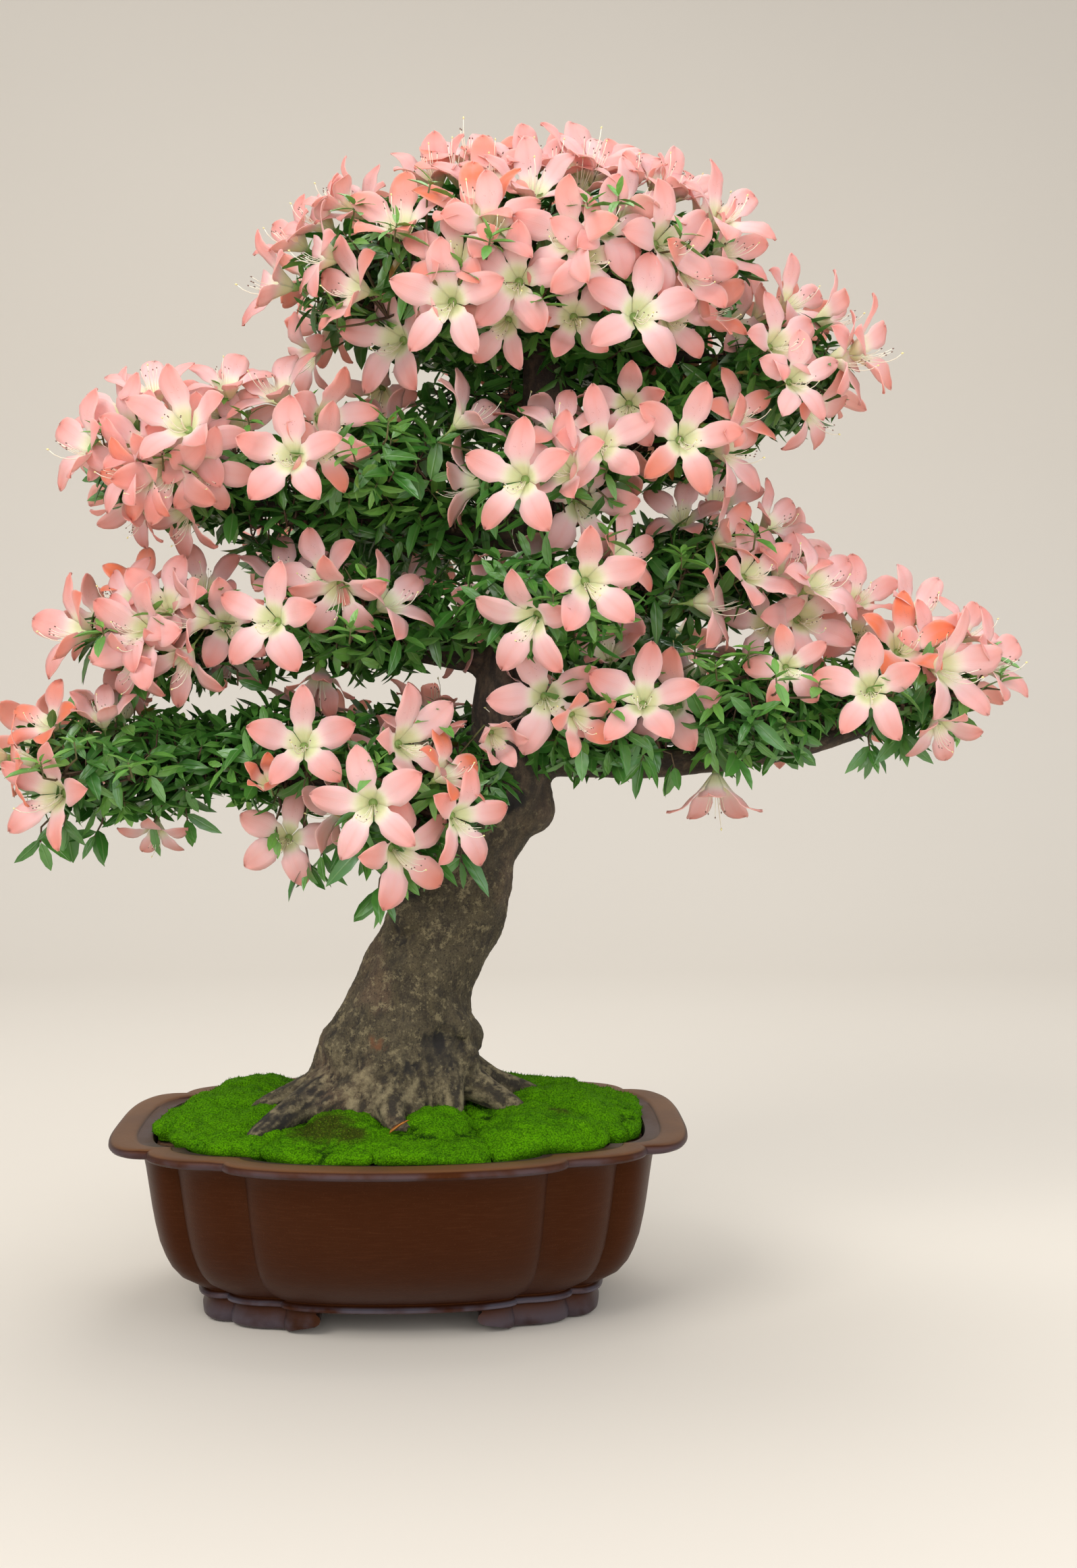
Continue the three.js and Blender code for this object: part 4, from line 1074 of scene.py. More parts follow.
# Blooms seen from the front, pad by pad: throat across and down in the camera's frame, turn and tilt in degrees,
# then size, how far open and tint (-1 pale, 1 orange) where they differ from 1, 1 and 0.
SEEN_BLOOMS = {
    "crown": [
        (838, 348, -25, 5, 0.93), (880, 378, 30, -5, 0.88), (765, 415, -5, -5, 0.92), (578, 505, -30, -10, 1.0),
        (625, 415, -75, 0, 0.75), (515, 425, -60, 5, 0.88), (590, 320, -20, 40, 0.95), (530, 300, -50, 45, 0.85),
        (500, 290, -60, 40, 0.75, 0.6), (470, 375, -75, 10, 0.85), (700, 300, -10, 45, 1.0, 1, 0.6),
        (730, 330, 5, 10, 0.85), (790, 270, 5, 45, 0.95, 1, -0.5), (785, 236, 10, 52, 0.85),
        (740, 240, -5, 52, 0.8), (828, 242, 15, 50, 0.85), (670, 370, -20, 20, 0.85),
        (945, 300, 55, 40, 0.95, 1, -0.6), (995, 355, 35, 0, 0.95), (1085, 365, 50, 15, 0.85),
        (1030, 400, 40, -10, 0.85), (1055, 455, 55, 5, 0.85, 0.5, 0.4), (1140, 455, 55, 30, 0.85, 1, 0.3),
        (1145, 540, 55, -5, 0.88), (1030, 560, 5, -5, 0.92), (1090, 590, 30, -10, 0.75, 1, 0.8),
        (450, 530, -60, -20, 0.8), (560, 590, -20, -40, 0.8, 1, -0.4), (752, 572, -55, -15, 0.7, 0.8, 1.0),
        (430, 350, -60, 30, 0.8), (640, 250, -20, 55, 0.85), (930, 258, 25, 50, 0.85), (1005, 275, 40, 45, 0.8),
        (850, 470, 0, -10, 0.85), (745, 480, -20, -20, 0.8, 0.8, 0.3), (680, 244, -10, 52, 0.88),
        (720, 262, 0, 35, 0.92), (862, 262, 10, 40, 0.92), (885, 240, 20, 52, 0.85), (900, 330, 25, 15, 0.88),
        (980, 262, 35, 50, 0.82), (1050, 310, 50, 40, 0.85), (468, 320, -65, 35, 0.82), (1100, 480, 45, 5, 0.85),
        (1000, 470, 20, -10, 0.8),
    ],
    "crown_right": [
        (1240, 468, 80, 15, 0.85), (1215, 615, 60, -30, 0.85), (1185, 560, 20, 5, 0.8), (1262, 530, 70, 0, 0.85),
        (1180, 440, 50, 30, 0.85), (1160, 505, 30, 10, 0.85),
    ],
    "right_upper": [(1090, 665, 60, 0, 0.92), (930, 600, -5, -10, 0.8), (1100, 610, 40, 20, 0.8, 1, 0.5)],
    "third_outer": [
        (180, 640, -30, 5, 1.0), (245, 705, -10, -35, 0.92), (205, 712, -40, -30, 0.8, 1, 0.5),
        (195, 765, -45, -60, 0.8, 0.6), (265, 775, -40, -50, 0.8, 1, 0.4), (320, 600, -20, 35, 0.85),
        (305, 700, 15, -30, 0.8, 0.8, 0.2), (165, 605, -45, 35, 0.8), (225, 570, -10, 55, 0.85, 1, -0.3),
        (215, 650, -10, 25, 0.88), (180, 690, -45, 0, 0.85), (290, 655, 0, 5, 0.85), (335, 562, -10, 55, 0.82),
        (258, 612, -20, 35, 0.85),
    ],
    "third_inner": [
        (490, 620, 35, 0, 0.9), (405, 572, -40, 45, 0.95), (480, 665, 20, -15, 0.8, 1, 0.3),
        (350, 640, -20, 5, 0.8),
    ],
    "centre_upper": [
        (700, 610, 65, 35, 0.88), (830, 690, -35, 15, 0.92), (890, 655, -5, 10, 0.95), (830, 625, 0, 50, 0.8),
    ],
    "centre_lower": [(865, 750, 15, -15, 1.0), (780, 925, -30, -25, 0.95), (930, 820, 50, 10, 0.8, 1, 0.3)],
    "second_inner": [
        (585, 885, 55, 30, 0.88), (500, 885, -10, -40, 0.88), (470, 850, -35, 10, 0.88), (340, 985, -20, -60, 0.75),
        (475, 1015, 0, -60, 0.75, 1, 0.3), (420, 845, -10, 50, 0.85, 1, -0.3),
    ],
    "second_outer": [
        (178, 885, -45, 35, 0.85), (205, 940, -30, 0, 0.98), (275, 915, -70, 5, 0.92), (265, 985, -35, -40, 0.88),
        (190, 990, -40, -40, 0.75), (205, 860, -20, 50, 0.75, 1, 0.8), (185, 1035, -20, -60, 0.65),
        (300, 860, 0, 50, 0.85), (240, 890, -10, 25, 0.88), (196, 925, -35, 10, 0.85), (335, 925, 10, 10, 0.82),
    ],
    "low_outer": [
        (70, 1180, -30, -5, 1.0), (65, 1065, -40, 30, 0.75, 1, 0.6), (150, 1055, -10, 60, 0.7),
        (230, 1240, -10, -60, 0.65), (20, 1130, -70, 0, 0.8, 1, 0.8),
    ],
    "low_inner": [(425, 1240, 0, 5, 0.88), (395, 1155, -10, 30, 0.55, 0.15, 0.6)],
    "front_low": [
        (600, 1266, 35, -12, 0.96), (610, 1100, 35, 5, 0.98), (670, 1140, 60, 30, 0.8, 1, 0.8),
        (690, 1215, 40, -5, 0.85), (735, 1095, 20, -20, 0.7, 0.4, -0.5),
    ],
    "lower_right_inner": [
        (810, 1035, 0, 0, 1.0), (860, 1068, 30, -20, 0.7, 0.5, 0.5), (990, 1042, -20, 5, 0.95),
        (900, 960, -10, 45, 0.8),
    ],
    "right_mid": [
        (1065, 890, 70, 5, 1.0), (1085, 790, 60, 20, 0.85, 1, 0.4), (1070, 735, 20, 30, 0.85),
        (1165, 835, 30, 50, 0.88), (1010, 760, -10, 30, 0.8), (1150, 770, 50, 30, 0.8), (1220, 865, 40, 40, 0.85),
        (1120, 845, 30, 20, 0.85),
    ],
    "lower_right_middle": [(1195, 912, 10, 5, 1.02), (1130, 925, -30, 0, 0.8), (1170, 990, 0, -5, 0.75, 1, 0.2)],
    "lower_right_outer": [
        (1275, 880, 20, 40, 0.85), (1365, 900, 40, 45, 0.92, 1, -0.5), (1342, 950, 10, 25, 0.95, 1, 0.95),
        (1415, 990, 35, 0, 1.08), (1270, 935, 0, 20, 0.8), (1385, 950, 20, 30, 0.8), (1395, 1085, 20, -50, 0.75),
        (1440, 930, 50, 40, 0.8),
    ],
}
# Where each bloom that the frame holds as a node looks: turn and tilt in degrees, and how open if not 1.
NODE_BLOOMS = {
    "crown_1": (-10, 68, 1.2), "crown_2": (28, 50, 1.15), "crown_3": (-12, -8), "crown_4": (-70, 10),
    "crown_5": (14, 4), "crown_6": (38, 34), "crown_right_1": (62, 8), "right_upper_1": (8, -2),
    "third_outer_1": (-14, 22), "third_outer_2": (-56, 14), "third_inner_1": (-14, 6), "centre_upper_1": (-20, -4),
    "centre_lower_1": (8, -4), "second_inner_1": (-18, 6), "second_outer_1": (-58, 10), "right_mid_1": (40, 26),
    "lower_right_inner_1": (-8, 18), "lower_right_outer_1": (-12, 6), "lower_right_outer_2": (56, 18),
    "lower_right_middle_1": (-10, -76, 0.78), "low_inner_1": (0, 14), "front_low_1": (-6, -4),
    "low_outer_1": (-66, 6), "back_left_1": (186, 22), "back_right_1": (168, 20),
}
BACK_BLOOMS = {"crown": 33, "crown_right": 3, "back_left": 6, "back_right": 6, "back_low": 4}  # others get 3
BLOOM_STANDS_OFF = 0.018  # throat above the pad
MOUTH_THICK = 0.0012  # of a frame bloom


NODE_BLOOM_SIZE = 0.96
BACK_BLOOM_GAP = 0.05  # from throat to throat
BACK_BLOOM_TRIES = 400
TOP_SINKS = 0.012  # how much lower a bloom that looks up stands, so that its petals keep the crown's height


def camera_turn():
    """The camera's axes: right, up and forward."""
    forward = looking_along(180 - CAMERA_TURN, -CAMERA_DROP)
    right = forward.cross(Vector((0, 0, 1))).normalized()
    return right, right.cross(forward), forward


def on_pad_through(pad, across, down, lift):
    """Where a sight line through a point of the camera's frame meets the pad grown by lift, or passes closest."""
    right, up, forward = camera_turn()
    way = forward + right * ((across - FRAME_WIDE / 2) / FOCAL) - up * ((down - FRAME_HIGH / 2) / FOCAL)
    way.normalize()
    steps = np.arange(SIGHT_STARTS, SIGHT_ENDS, SIGHT_STEP)
    line = np.array(CAMERA_PLACE) + steps[:, None] * np.array(way)
    x, y, z = (line - np.array(pad.heart)).T
    rise = np.where(z > 0, pad.up, pad.down) + lift
    depth = np.sqrt((x / (pad.reach.x + lift)) ** 2 + (y / (pad.reach.y + lift)) ** 2 + (z / rise) ** 2)
    inside = np.flatnonzero(depth <= 1)
    return Vector(line[inside[0]] if len(inside) else line[depth.argmin()])


def frame_mouth(node, facing):
    """The middle of a frame bloom's mouth, from the ring that stands furthest along its facing."""
    corners = np.unique(np.round(corners_of(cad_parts[node]), 6), axis=0)
    along = corners @ np.array(facing)
    ring = corners[along > along.max() - 0.0004]
    return Vector(ring.mean(0)) - facing * MOUTH_THICK


def pad_of_bloom(name):
    return name.rsplit("_", 1)[0]


def gather_blooms(seed):
    """Every bloom: those of frame nodes by the node's name, and the others by pad."""
    chance = np.random.default_rng(seed)
    by_node, by_pad = {}, {name: [] for name in PADS}
    for name, (turn, tilt, *opened) in NODE_BLOOMS.items():
        facing = looking_along(turn, tilt)
        mouth = frame_mouth("flower_" + name, facing)
        tint, roll = chance.normal(0, 0.15), chance.uniform(-12, 12)
        by_node[name] = Bloom(mouth, facing, NODE_BLOOM_SIZE, *(opened or [1.0]), tint, roll)
    for name, rows in SEEN_BLOOMS.items():
        for across, down, turn, tilt, size, *rest in rows:
            opened, tint = (*rest, *(1.0, 0.0)[len(rest):])
            facing = looking_along(turn + chance.uniform(-4, 4), tilt + chance.uniform(-4, 4))
            lift = BLOOM_STANDS_OFF - TOP_SINKS * max(0.0, facing.z)
            throat = on_pad_through(PADS[name], across, down, lift)
            tint = tint or chance.normal(-0.02, 0.26)
            by_pad[name].append(Bloom(throat, facing, size, opened, tint, chance.uniform(-20, 20)))
    for name, pad in PADS.items():
        placed = [b.throat for b in by_pad[name]] + [b.throat for b in by_node.values()]
        wanted, tries = BACK_BLOOMS.get(name, 3), 0
        while wanted and tries < BACK_BLOOM_TRIES:
            tries += 1
            way = looking_along(chance.uniform(100, 260), chance.uniform(-12, 86))
            throat = pad.heart + Vector((way.x * pad.reach.x, way.y * pad.reach.y, way.z * pad.up)) + way * 0.016
            throat.z -= TOP_SINKS * max(0.0, way.z)
            if min((throat - other).length for other in placed) < BACK_BLOOM_GAP:
                continue
            facing = (way + Vector(chance.normal(0, 0.25, 3))).normalized()
            size, tint, roll = chance.uniform(0.8, 0.98), chance.normal(0, 0.35), chance.uniform(-25, 25)
            by_pad[name].append(Bloom(throat, facing, size, 1.0, tint, roll))
            placed.append(throat)
            wanted -= 1
    return by_node, by_pad


# ---------------------------------------------------------------- leaves and twigs
Shoot = namedtuple("Shoot", "tip axis young shapes")
LEAF_STATIONS = [(0.2, 0.74), (0.5, 1.0), (0.8, 0.64)]  # along the blade, and its half width as a share
DEEP_STATIONS = [(0.34, 0.96), (0.72, 0.78)]  # likewise, for leaves inside a pad
LEAF_THICK = 0.014  # as a share of its length


def leaf_template(width, fold, curl, stations=LEAF_STATIONS):
    """A closed thin blade of unit length along Y: base, tip, left edge, right edge, midrib above and below."""
    corners, blade = [(0, 0, 0), (0, 1, -curl)], [(0.5, 0), (0.5, 1)]
    for side in (-1, 1):
        for y, share in stations:
            corners.append((side * width * share, y, fold * width * share - curl * y * y))
            blade.append((0.5 + 0.5 * side, y))
    for thick in (0.0, LEAF_THICK):
        for y, _ in stations:
            corners.append((0, y, -curl * y * y - thick))
            blade.append((0.5, y))
    rows = len(stations)
    left, right, above, below = ([0, *range(2 + k * rows, 2 + (k + 1) * rows), 1] for k in range(4))
    faces = []
    for a, b in ((above, left), (right, above), (left, below), (below, right)):
        middle = [(a[i], a[i + 1], b[i + 1], b[i]) for i in range(1, rows)]
        faces += [(a[0], a[1], b[1]), *middle, (a[rows], 1, b[rows])]
    return np.array(corners, float), faces, np.array(blade, float)


# Each form of leaf: half width as a share of its length, how far it folds along its midrib and how far it curls.
LEAF_FORMS = [
    (0.17, 0.35, 0.10), (0.16, 0.5, 0.22), (0.15, 0.3, 0.32), (0.18, 0.42, 0.0), (0.14, 0.6, 0.16), (0.19, 0.2, 0.2),
    (0.16, 0.1, 0.42),
]
LEAF_SHAPES = [leaf_template(*form) for form in LEAF_FORMS]
DEEP_SHAPES = [leaf_template(*form, DEEP_STATIONS) for form in LEAF_FORMS]


def even_ways(count):
    """Directions spread evenly over a sphere."""
    steps = np.arange(count) + 0.5
    z = 1 - 2 * steps / count
    turn = math.pi * (1 + 5**0.5) * steps
    flat = np.sqrt(1 - z * z)
    return np.stack([flat * np.cos(turn), flat * np.sin(turn), z], 1)


def grow_shoots(pad, spacing, chance):
    """Shoot tips in an outer and an inner layer of the pad, with the way each grows."""
    shoots = []
    for share, gap, growth, shapes in ((0.97, spacing, 1.0, LEAF_SHAPES), (0.70, spacing * 1.25, 0.0, DEEP_SHAPES)):
        kept = np.zeros((0, 3))
        for way in even_ways(int(9 * pad.reach.x * pad.reach.y / spacing**2) + 300):
            if way[2] < -0.35 and chance.random() < 0.15:
                continue
            rise = pad.up if way[2] > 0 else pad.down * 1.12
            lump = noise.noise(Vector(way) * 2.6 + pad.heart * 9)
            grown = share + 0.10 * lump + chance.uniform(-0.06, 0.05)
            reach = np.array((pad.reach.x, pad.reach.y, rise)) * grown
            tip = np.array(pad.heart) + way * reach
            if len(kept) and np.linalg.norm(kept - tip, axis=1).min() < gap * chance.uniform(0.8, 1.1):
                continue
            kept = np.vstack([kept, tip])
            up = 0.55 if way[2] > -0.25 else -0.15
            axis = unit(way / reach) * 0.8 + np.array((0, 0, up)) + chance.normal(0, 0.24, 3)
            shoots.append(Shoot(tip, unit(axis), growth * chance.random(), shapes))
    return shoots


def leaf_rows(shoots, length, chance, fewest=5, widest=94, facing=None):
    """Each leaf as foot, way along, top side, length, age, rust and shape; facing turns every top that way."""
    rows = []
    for shoot in shoots:
        count = chance.integers(fewest, fewest + 4)
        fresh = 1.0 if shoot.young > 0.80 else 0.0
        start = chance.uniform(0, 6.28)
        side = unit(np.cross(shoot.axis, (0.31, 0.87, 0.2)))
        other = np.cross(shoot.axis, side)
        for i in range(count):
            inner = i / (count - 1)
            spread = math.radians(widest * (1 - 0.6 * inner) + chance.normal(0, 10))
            around = start + 2.4 * i + chance.normal(0, 0.2)
            away = side * math.cos(around) + other * math.sin(around)
            way = unit(shoot.axis * math.cos(spread) + away * math.sin(spread) + np.array((0, 0, -0.10)))
            top = shoot.axis * math.sin(spread) - away * math.cos(spread) if facing is None else facing
            top = top + chance.normal(0, 0.18 if facing is None else 0.35, 3)
            size = length * (1.06 - 0.42 * inner) * chance.uniform(0.8, 1.2) * (0.85 if fresh else 1.0)
            age = np.clip(0.10 + 0.22 * chance.random() + 0.25 * inner**2 + 0.55 * fresh, 0, 1)
            foot = shoot.tip - shoot.axis * 0.006 * (1 - inner)
            rust = 1.0 if chance.random() < 0.006 else 0.0
            rows.append((foot, way, top, size, age, rust, shoot.shapes[int(chance.integers(len(LEAF_FORMS)))]))
    return rows


def clear_of_blooms(middle, blooms, chance):
    """False for a leaf that would stand in front of a bloom's petals, but for a few."""
    for bloom in blooms:
        out, axis = middle - np.array(bloom.throat), np.array(bloom.axis)
        ahead = out @ axis
        if -0.014 < ahead < 0.04 and np.linalg.norm(out - ahead * axis) < 0.033 * bloom.size:
            return chance.random() < 0.14
    return True


def leaves_piece(pad, rows, blooms, chance, before=()):
    """The pad's leaves in one mesh: rows keep clear of the blooms, before may stand in front of them."""
    near = [b for b in blooms if (b.throat - pad.heart).length < max(pad.reach) + 0.09]
    pile = Pile()
    rows = [row for row in rows if clear_of_blooms(row[0] + row[1] * row[3] * 0.55, near, chance)]
    for foot, way, top, size, age, rust, (corners, faces, blade) in [*rows, *before]:
        across = unit(np.cross(way, top), 1e-9)
        turn = np.stack([across, way, np.cross(across, way)])
        pile.add(corners * size @ turn + foot, faces, blade, age=age, rust=rust)
    piece = pile.piece("leafage_" + pad.name)
    made_active(piece)
    bpy.ops.object.shade_smooth_by_angle(angle=math.radians(64))
    return piece


def bowed(start, end, sag, steps):
    """Points from start to end, bowed by sag."""
    t = np.linspace(0, 1, steps)[:, None]
    return start + (end - start) * t + np.array(sag) * (4 * t * (1 - t))


def nearest_of(rows, point):
    return rows[np.linalg.norm(rows[:, :3] - point, axis=1).argmin()]


def twigs_piece(pad, shoots, blooms, lines, chance):
    """Side twigs from the branches, a fine twig to every shoot and one to every bloom."""
    spine = np.vstack(lines)
    heart = np.array(pad.heart)
    gap = np.linalg.norm((spine[:, :3] - heart) / (pad.reach.x, pad.reach.y, pad.down + 0.02), axis=1)
    wood = spine[gap < 1.0] if (gap < 1.0).sum() > 2 else spine[np.argsort(gap)[:4]]
    tips = np.array([s.tip - s.axis * 0.012 for s in shoots])
    pile, joints = Pile(), [wood[:, :3]]
    chosen = [int(chance.integers(len(tips)))]
    for _ in range(9 + int(90 * pad.reach.x)):
        gaps = np.min([np.linalg.norm(tips - tips[c], axis=1) for c in chosen], axis=0)
        chosen.append(int(gaps.argmax()))
    for c in chosen:
        end = heart + (tips[c] - heart) * 0.74
        points = bowed(nearest_of(wood, end)[:3], end, (0, 0, chance.uniform(-0.006, 0.004)), 6)
        points[1:-1] += chance.normal(0, 0.0016, (4, 3))
        pile.add(*tube(points, np.linspace(0.0026, 0.0012, 6), 5), age=0.0)
        joints.append(points[1:])
    joints = np.vstack(joints)
    ends = [(tip, s.tip, 0.5 * s.young) for tip, s in zip(tips, shoots)]
    for b in blooms:
        foot = np.array(b.throat - b.axis * 0.030 * b.size)
        ends.append((foot - np.array(b.axis) * 0.008, foot, 0.8))
    for low, high, age in ends:
        points = np.vstack([bowed(nearest_of(joints, low), low, chance.normal(0, 0.0012, 3), 3), high])
        pile.add(*tube(points, (0.0012, 0.00105, 0.0009, 0.0007), 3), age=age * np.repeat((0, 0.2, 0.7, 1.0), 3))
    return pile.piece("twigs_" + pad.name)


def hanging_shoots(name, chance):
    for x, y, z, young in HANGING.get(name, []):
        axis = np.array((chance.normal(0, 0.25), -0.3, -0.85))
        yield Shoot(np.array(from_pot(x, y, z)), unit(axis), young, LEAF_SHAPES)


def shoots_before(name, chance):
    for across, down in SHOOTS_BEFORE.get(name, []):
        axis = np.array((chance.normal(0, 0.2), -0.25, 1.0))
        tip = np.array(on_pad_through(PADS[name], across, down, SHOOT_STANDS_OFF))
        yield Shoot(tip, unit(axis), 0.9, LEAF_SHAPES)


class AZALEA_OT_foliage(bpy.types.Operator):
    """Leaves and twigs, pad by pad"""

    bl_idname = "azalea.foliage"
    bl_label = "Leaves and twigs"

    def execute(self, context):
        settings = context.scene.azalea
        length, spacing = settings.leaf.length, settings.leaf.spacing
        by_node, by_pad = gather_blooms(settings.seed)
        everyone = [*by_node.values(), *(b for rows in by_pad.values() for b in rows)]
        lines = limb_lines()
        blade, bark = leaf_look(settings.leaf), twig_look()
        for number, (name, pad) in enumerate(PADS.items()):
            chance = np.random.default_rng(settings.seed + number)
            shoots = grow_shoots(pad, spacing, chance)
            rows = leaf_rows(shoots, length, chance)
            hanging = list(hanging_shoots(name, chance))
            rows += leaf_rows(hanging, length * 1.05, chance, 3, 60, np.array(HANGING_FACES))
            before = list(shoots_before(name, chance))
            shoots += hanging + before
            before = leaf_rows(before, length * 0.85, chance)
            settle(leaves_piece(pad, rows, everyone, chance, before), "leaves", "leaves_" + name, looks=[blade])
            own = by_pad[name] + [b for node, b in by_node.items() if pad_of_bloom(node) == name]
            settle(twigs_piece(pad, shoots, own, lines, chance), "bark", looks=[bark])
        chance = np.random.default_rng(settings.seed * 11)
        leaves, twigs = [], []
        for number, (x, y, z, wide, deep, up, down) in enumerate(BETWEEN_PADS):
            reach = Vector((wide, deep, (up + down) / 2)) * MM
            pad = Pad(f"between_{number}", from_pot(x, y, z), reach, up * MM, down * MM)
            shoots = grow_shoots(pad, spacing * 1.2, chance)
            shoots = [shoot._replace(young=0.0, shapes=DEEP_SHAPES) for shoot in shoots]
            leaves.append(leaves_piece(pad, leaf_rows(shoots, length, chance), everyone, chance))
            twigs.append(twigs_piece(pad, shoots, [], lines, chance))
        settle(joined(*leaves), "leaves", looks=[blade])
        settle(joined(*twigs), "bark", looks=[bark])
        return {"FINISHED"}


# ---------------------------------------------------------------- blooms
# A petal's middle line from the tube's foot to the tip: share along it, then distance from the axis, height and half
# width in millimetres.
PETAL_LINE = [
    (0.00, 0.9, -20.5, 0.7), (0.13, 5.4, -15.0, 3.9), (0.25, 9.0, -9.8, 6.5), (0.33, 11.6, -6.3, 8.3),
    (0.40, 14.4, -3.3, 9.9), (0.50, 18.8, -0.5, 10.9), (0.60, 23.3, 1.2, 11.2), (0.70, 28.0, 2.1, 10.7),
    (0.79, 32.4, 2.2, 9.5), (0.87, 36.3, 1.7, 7.6), (0.94, 39.8, 1.0, 4.9), (1.00, 43.0, -0.2, 0.4),
]
PETAL_ACROSS = (-1.0, -0.55, 0.0, 0.55, 1.0)
FUSED_TO = 0.33  # share of the line along which the petals are one tube
PETAL_THICK = 0.00045
PETALS = 5
BUD = 0.3  # a bloom less open than this shows no stamens


def sheet_faces(rows, columns):
    """Faces of a closed thin sheet: a front grid, then the same grid behind it, with walls around."""
    back = rows * columns
    faces = []
    for i in range(rows - 1):
        for j in range(columns - 1):
            a, b = i * columns + j, i * columns + j + 1
            c, d = b + columns, a + columns
            faces += [(a, b, c, d), (back + a, back + d, back + c, back + b)]
        left, right = i * columns, i * columns + columns - 1
        faces += [(left, left + columns, back + left + columns, back + left)]
        faces += [(right + columns, right, back + right, back + right + columns)]
    for j in range(columns - 1):
        top = (rows - 1) * columns + j
        faces += [(j + 1, j, back + j, back + j + 1), (top, top + 1, back + top + 1, back + top)]
    return faces


PETAL_FACES = sheet_faces(len(PETAL_LINE), len(PETAL_ACROSS))


def petal(turn, opened, droop, ruffle, wide, chance):
    """One petal of a bloom that looks along +Z; opened tips it from shut to flat and droop bends it further back."""
    share, out, up, half = np.array(PETAL_LINE).T.copy()
    free = share > FUSED_TO
    half[1:] *= np.where(free[1:], wide, 1.0)
    at = int(np.argmax(share >= FUSED_TO))
    lean = np.clip((share - FUSED_TO) / 0.4, 0, 1)
    angle = (1 - opened) * 1.15 * lean + droop * lean**2
    from_out, from_up = out - out[at], up - up[at]
    out = np.where(free, out[at] + from_out * np.cos(angle) - from_up * np.sin(angle), out)
    up = np.where(free, up[at] + from_out * np.sin(angle) + from_up * np.cos(angle), up)
    # from here on, rows run along the petal and columns across it
    u = np.array(PETAL_ACROSS)[None, :]
    share, out, up, half, lean = (row[:, None] for row in (share, out, up, half, lean))
    fused = np.clip((0.5 - share) / 0.15, 0, 1)
    spread = u * math.pi / PETALS * fused
    x = fused * out * np.cos(spread) + (1 - fused) * (out + 0 * u)
    y = fused * out * np.sin(spread) + (1 - fused) * (u * half)
    loose = (1 - fused) * lean
    curl = -1.1 * u**2 * np.sin(np.clip((share - 0.35) / 0.6, 0, 1) * math.pi) + 1.5 * np.abs(u) * loose
    waves = ruffle * loose * u**2 * np.sin(share * 17 + chance.uniform(0, 6) + 2.5 * np.sign(u))
    twist = chance.normal(0, 0.14) * y * loose
    z = up + curl * loose + waves + twist
    y = y + chance.normal(0, 1.7) * loose**2
    points = np.stack([x, y, z], 2)
    normal = unit(np.cross(np.gradient(points, axis=0), np.gradient(points, axis=1)), 1e-9)
    both = np.vstack([points.reshape(-1, 3), (points - normal * PETAL_THICK / MM).reshape(-1, 3)])
    c, s = math.cos(turn), math.sin(turn)
    both = both @ np.array([[c, s, 0], [-s, c, 0], [0, 0, 1]])
    blade = np.stack(np.broadcast_arrays(u * 0.5 + 0.5, share), 2).reshape(-1, 2)
    return both * MM, np.vstack([blade, blade])


ANTHER = np.array([(1, 0, 0), (-1, 0, 0), (0, 1, 0), (0, -1, 0), (0, 0, 1.7), (0, 0, -1.7)], float)
ANTHER_FACES = [(0, 2, 4), (2, 1, 4), (1, 3, 4), (3, 0, 4), (2, 0, 5), (1, 2, 5), (3, 1, 5), (0, 3, 5)]
CREAM, STIGMA, ANTHER_BROWN = paint(252, 246, 224), paint(236, 226, 150), paint(92, 44, 42)
CALYX_GREEN = paint(120, 152, 66)
STAMEN_RADII, STYLE_RADII = (0.36, 0.34, 0.32, 0.28, 0.22), np.linspace(0.48, 0.34, 7)
# The green cup behind the tube and the stalk that it sits on: height along the bloom's axis, and radius.
CALYX = [(-30.0, 0.75), (-25.0, 0.95), (-22.4, 1.9), (-21.2, 2.8), (-19.4, 3.3), (-17.6, 3.7)]


def thread(root, tip, sag, radii, size, tip_colour):
    """A cream thread and the small body at its tip."""
    points = bowed(root, tip, sag, len(radii))
    body = ANTHER * size * MM + tip * MM
    return [(*tube(points * MM, np.array(radii) * MM, 3), CREAM), (body, ANTHER_FACES, tip_colour)]


def stamens(chance):
    """Five short stamens and the long style, which leave the throat low and curve up."""
    parts = []
    for k in range(5):
        turn = math.radians(-90 + (k - 2) * 32 + chance.normal(0, 8))
        reach = chance.uniform(9, 16)
        tip = np.array((math.cos(turn) * 8.0, math.sin(turn) * 8.0 + 1.0, reach))
        root = np.array((math.cos(turn) * 1.5, math.sin(turn) * 1.5, -15.0))
        parts += thread(root, tip, (0, -3.2, 0), STAMEN_RADII, 0.62, ANTHER_BROWN)
    tip = np.array((chance.normal(0, 3), -7.0 + chance.normal(0, 3), 23.0))
    root = np.array((0, -0.8, -16.0))
    return parts + thread(root, tip, (0, -7.0, 2), STYLE_RADII, 0.85, STIGMA)


def calyx():
    points = np.array([(0, 0, height) for height, _ in CALYX])
    radii = np.array([radius for _, radius in CALYX])
    return [(*tube(points * MM, radii * MM, 6), CALYX_GREEN)]


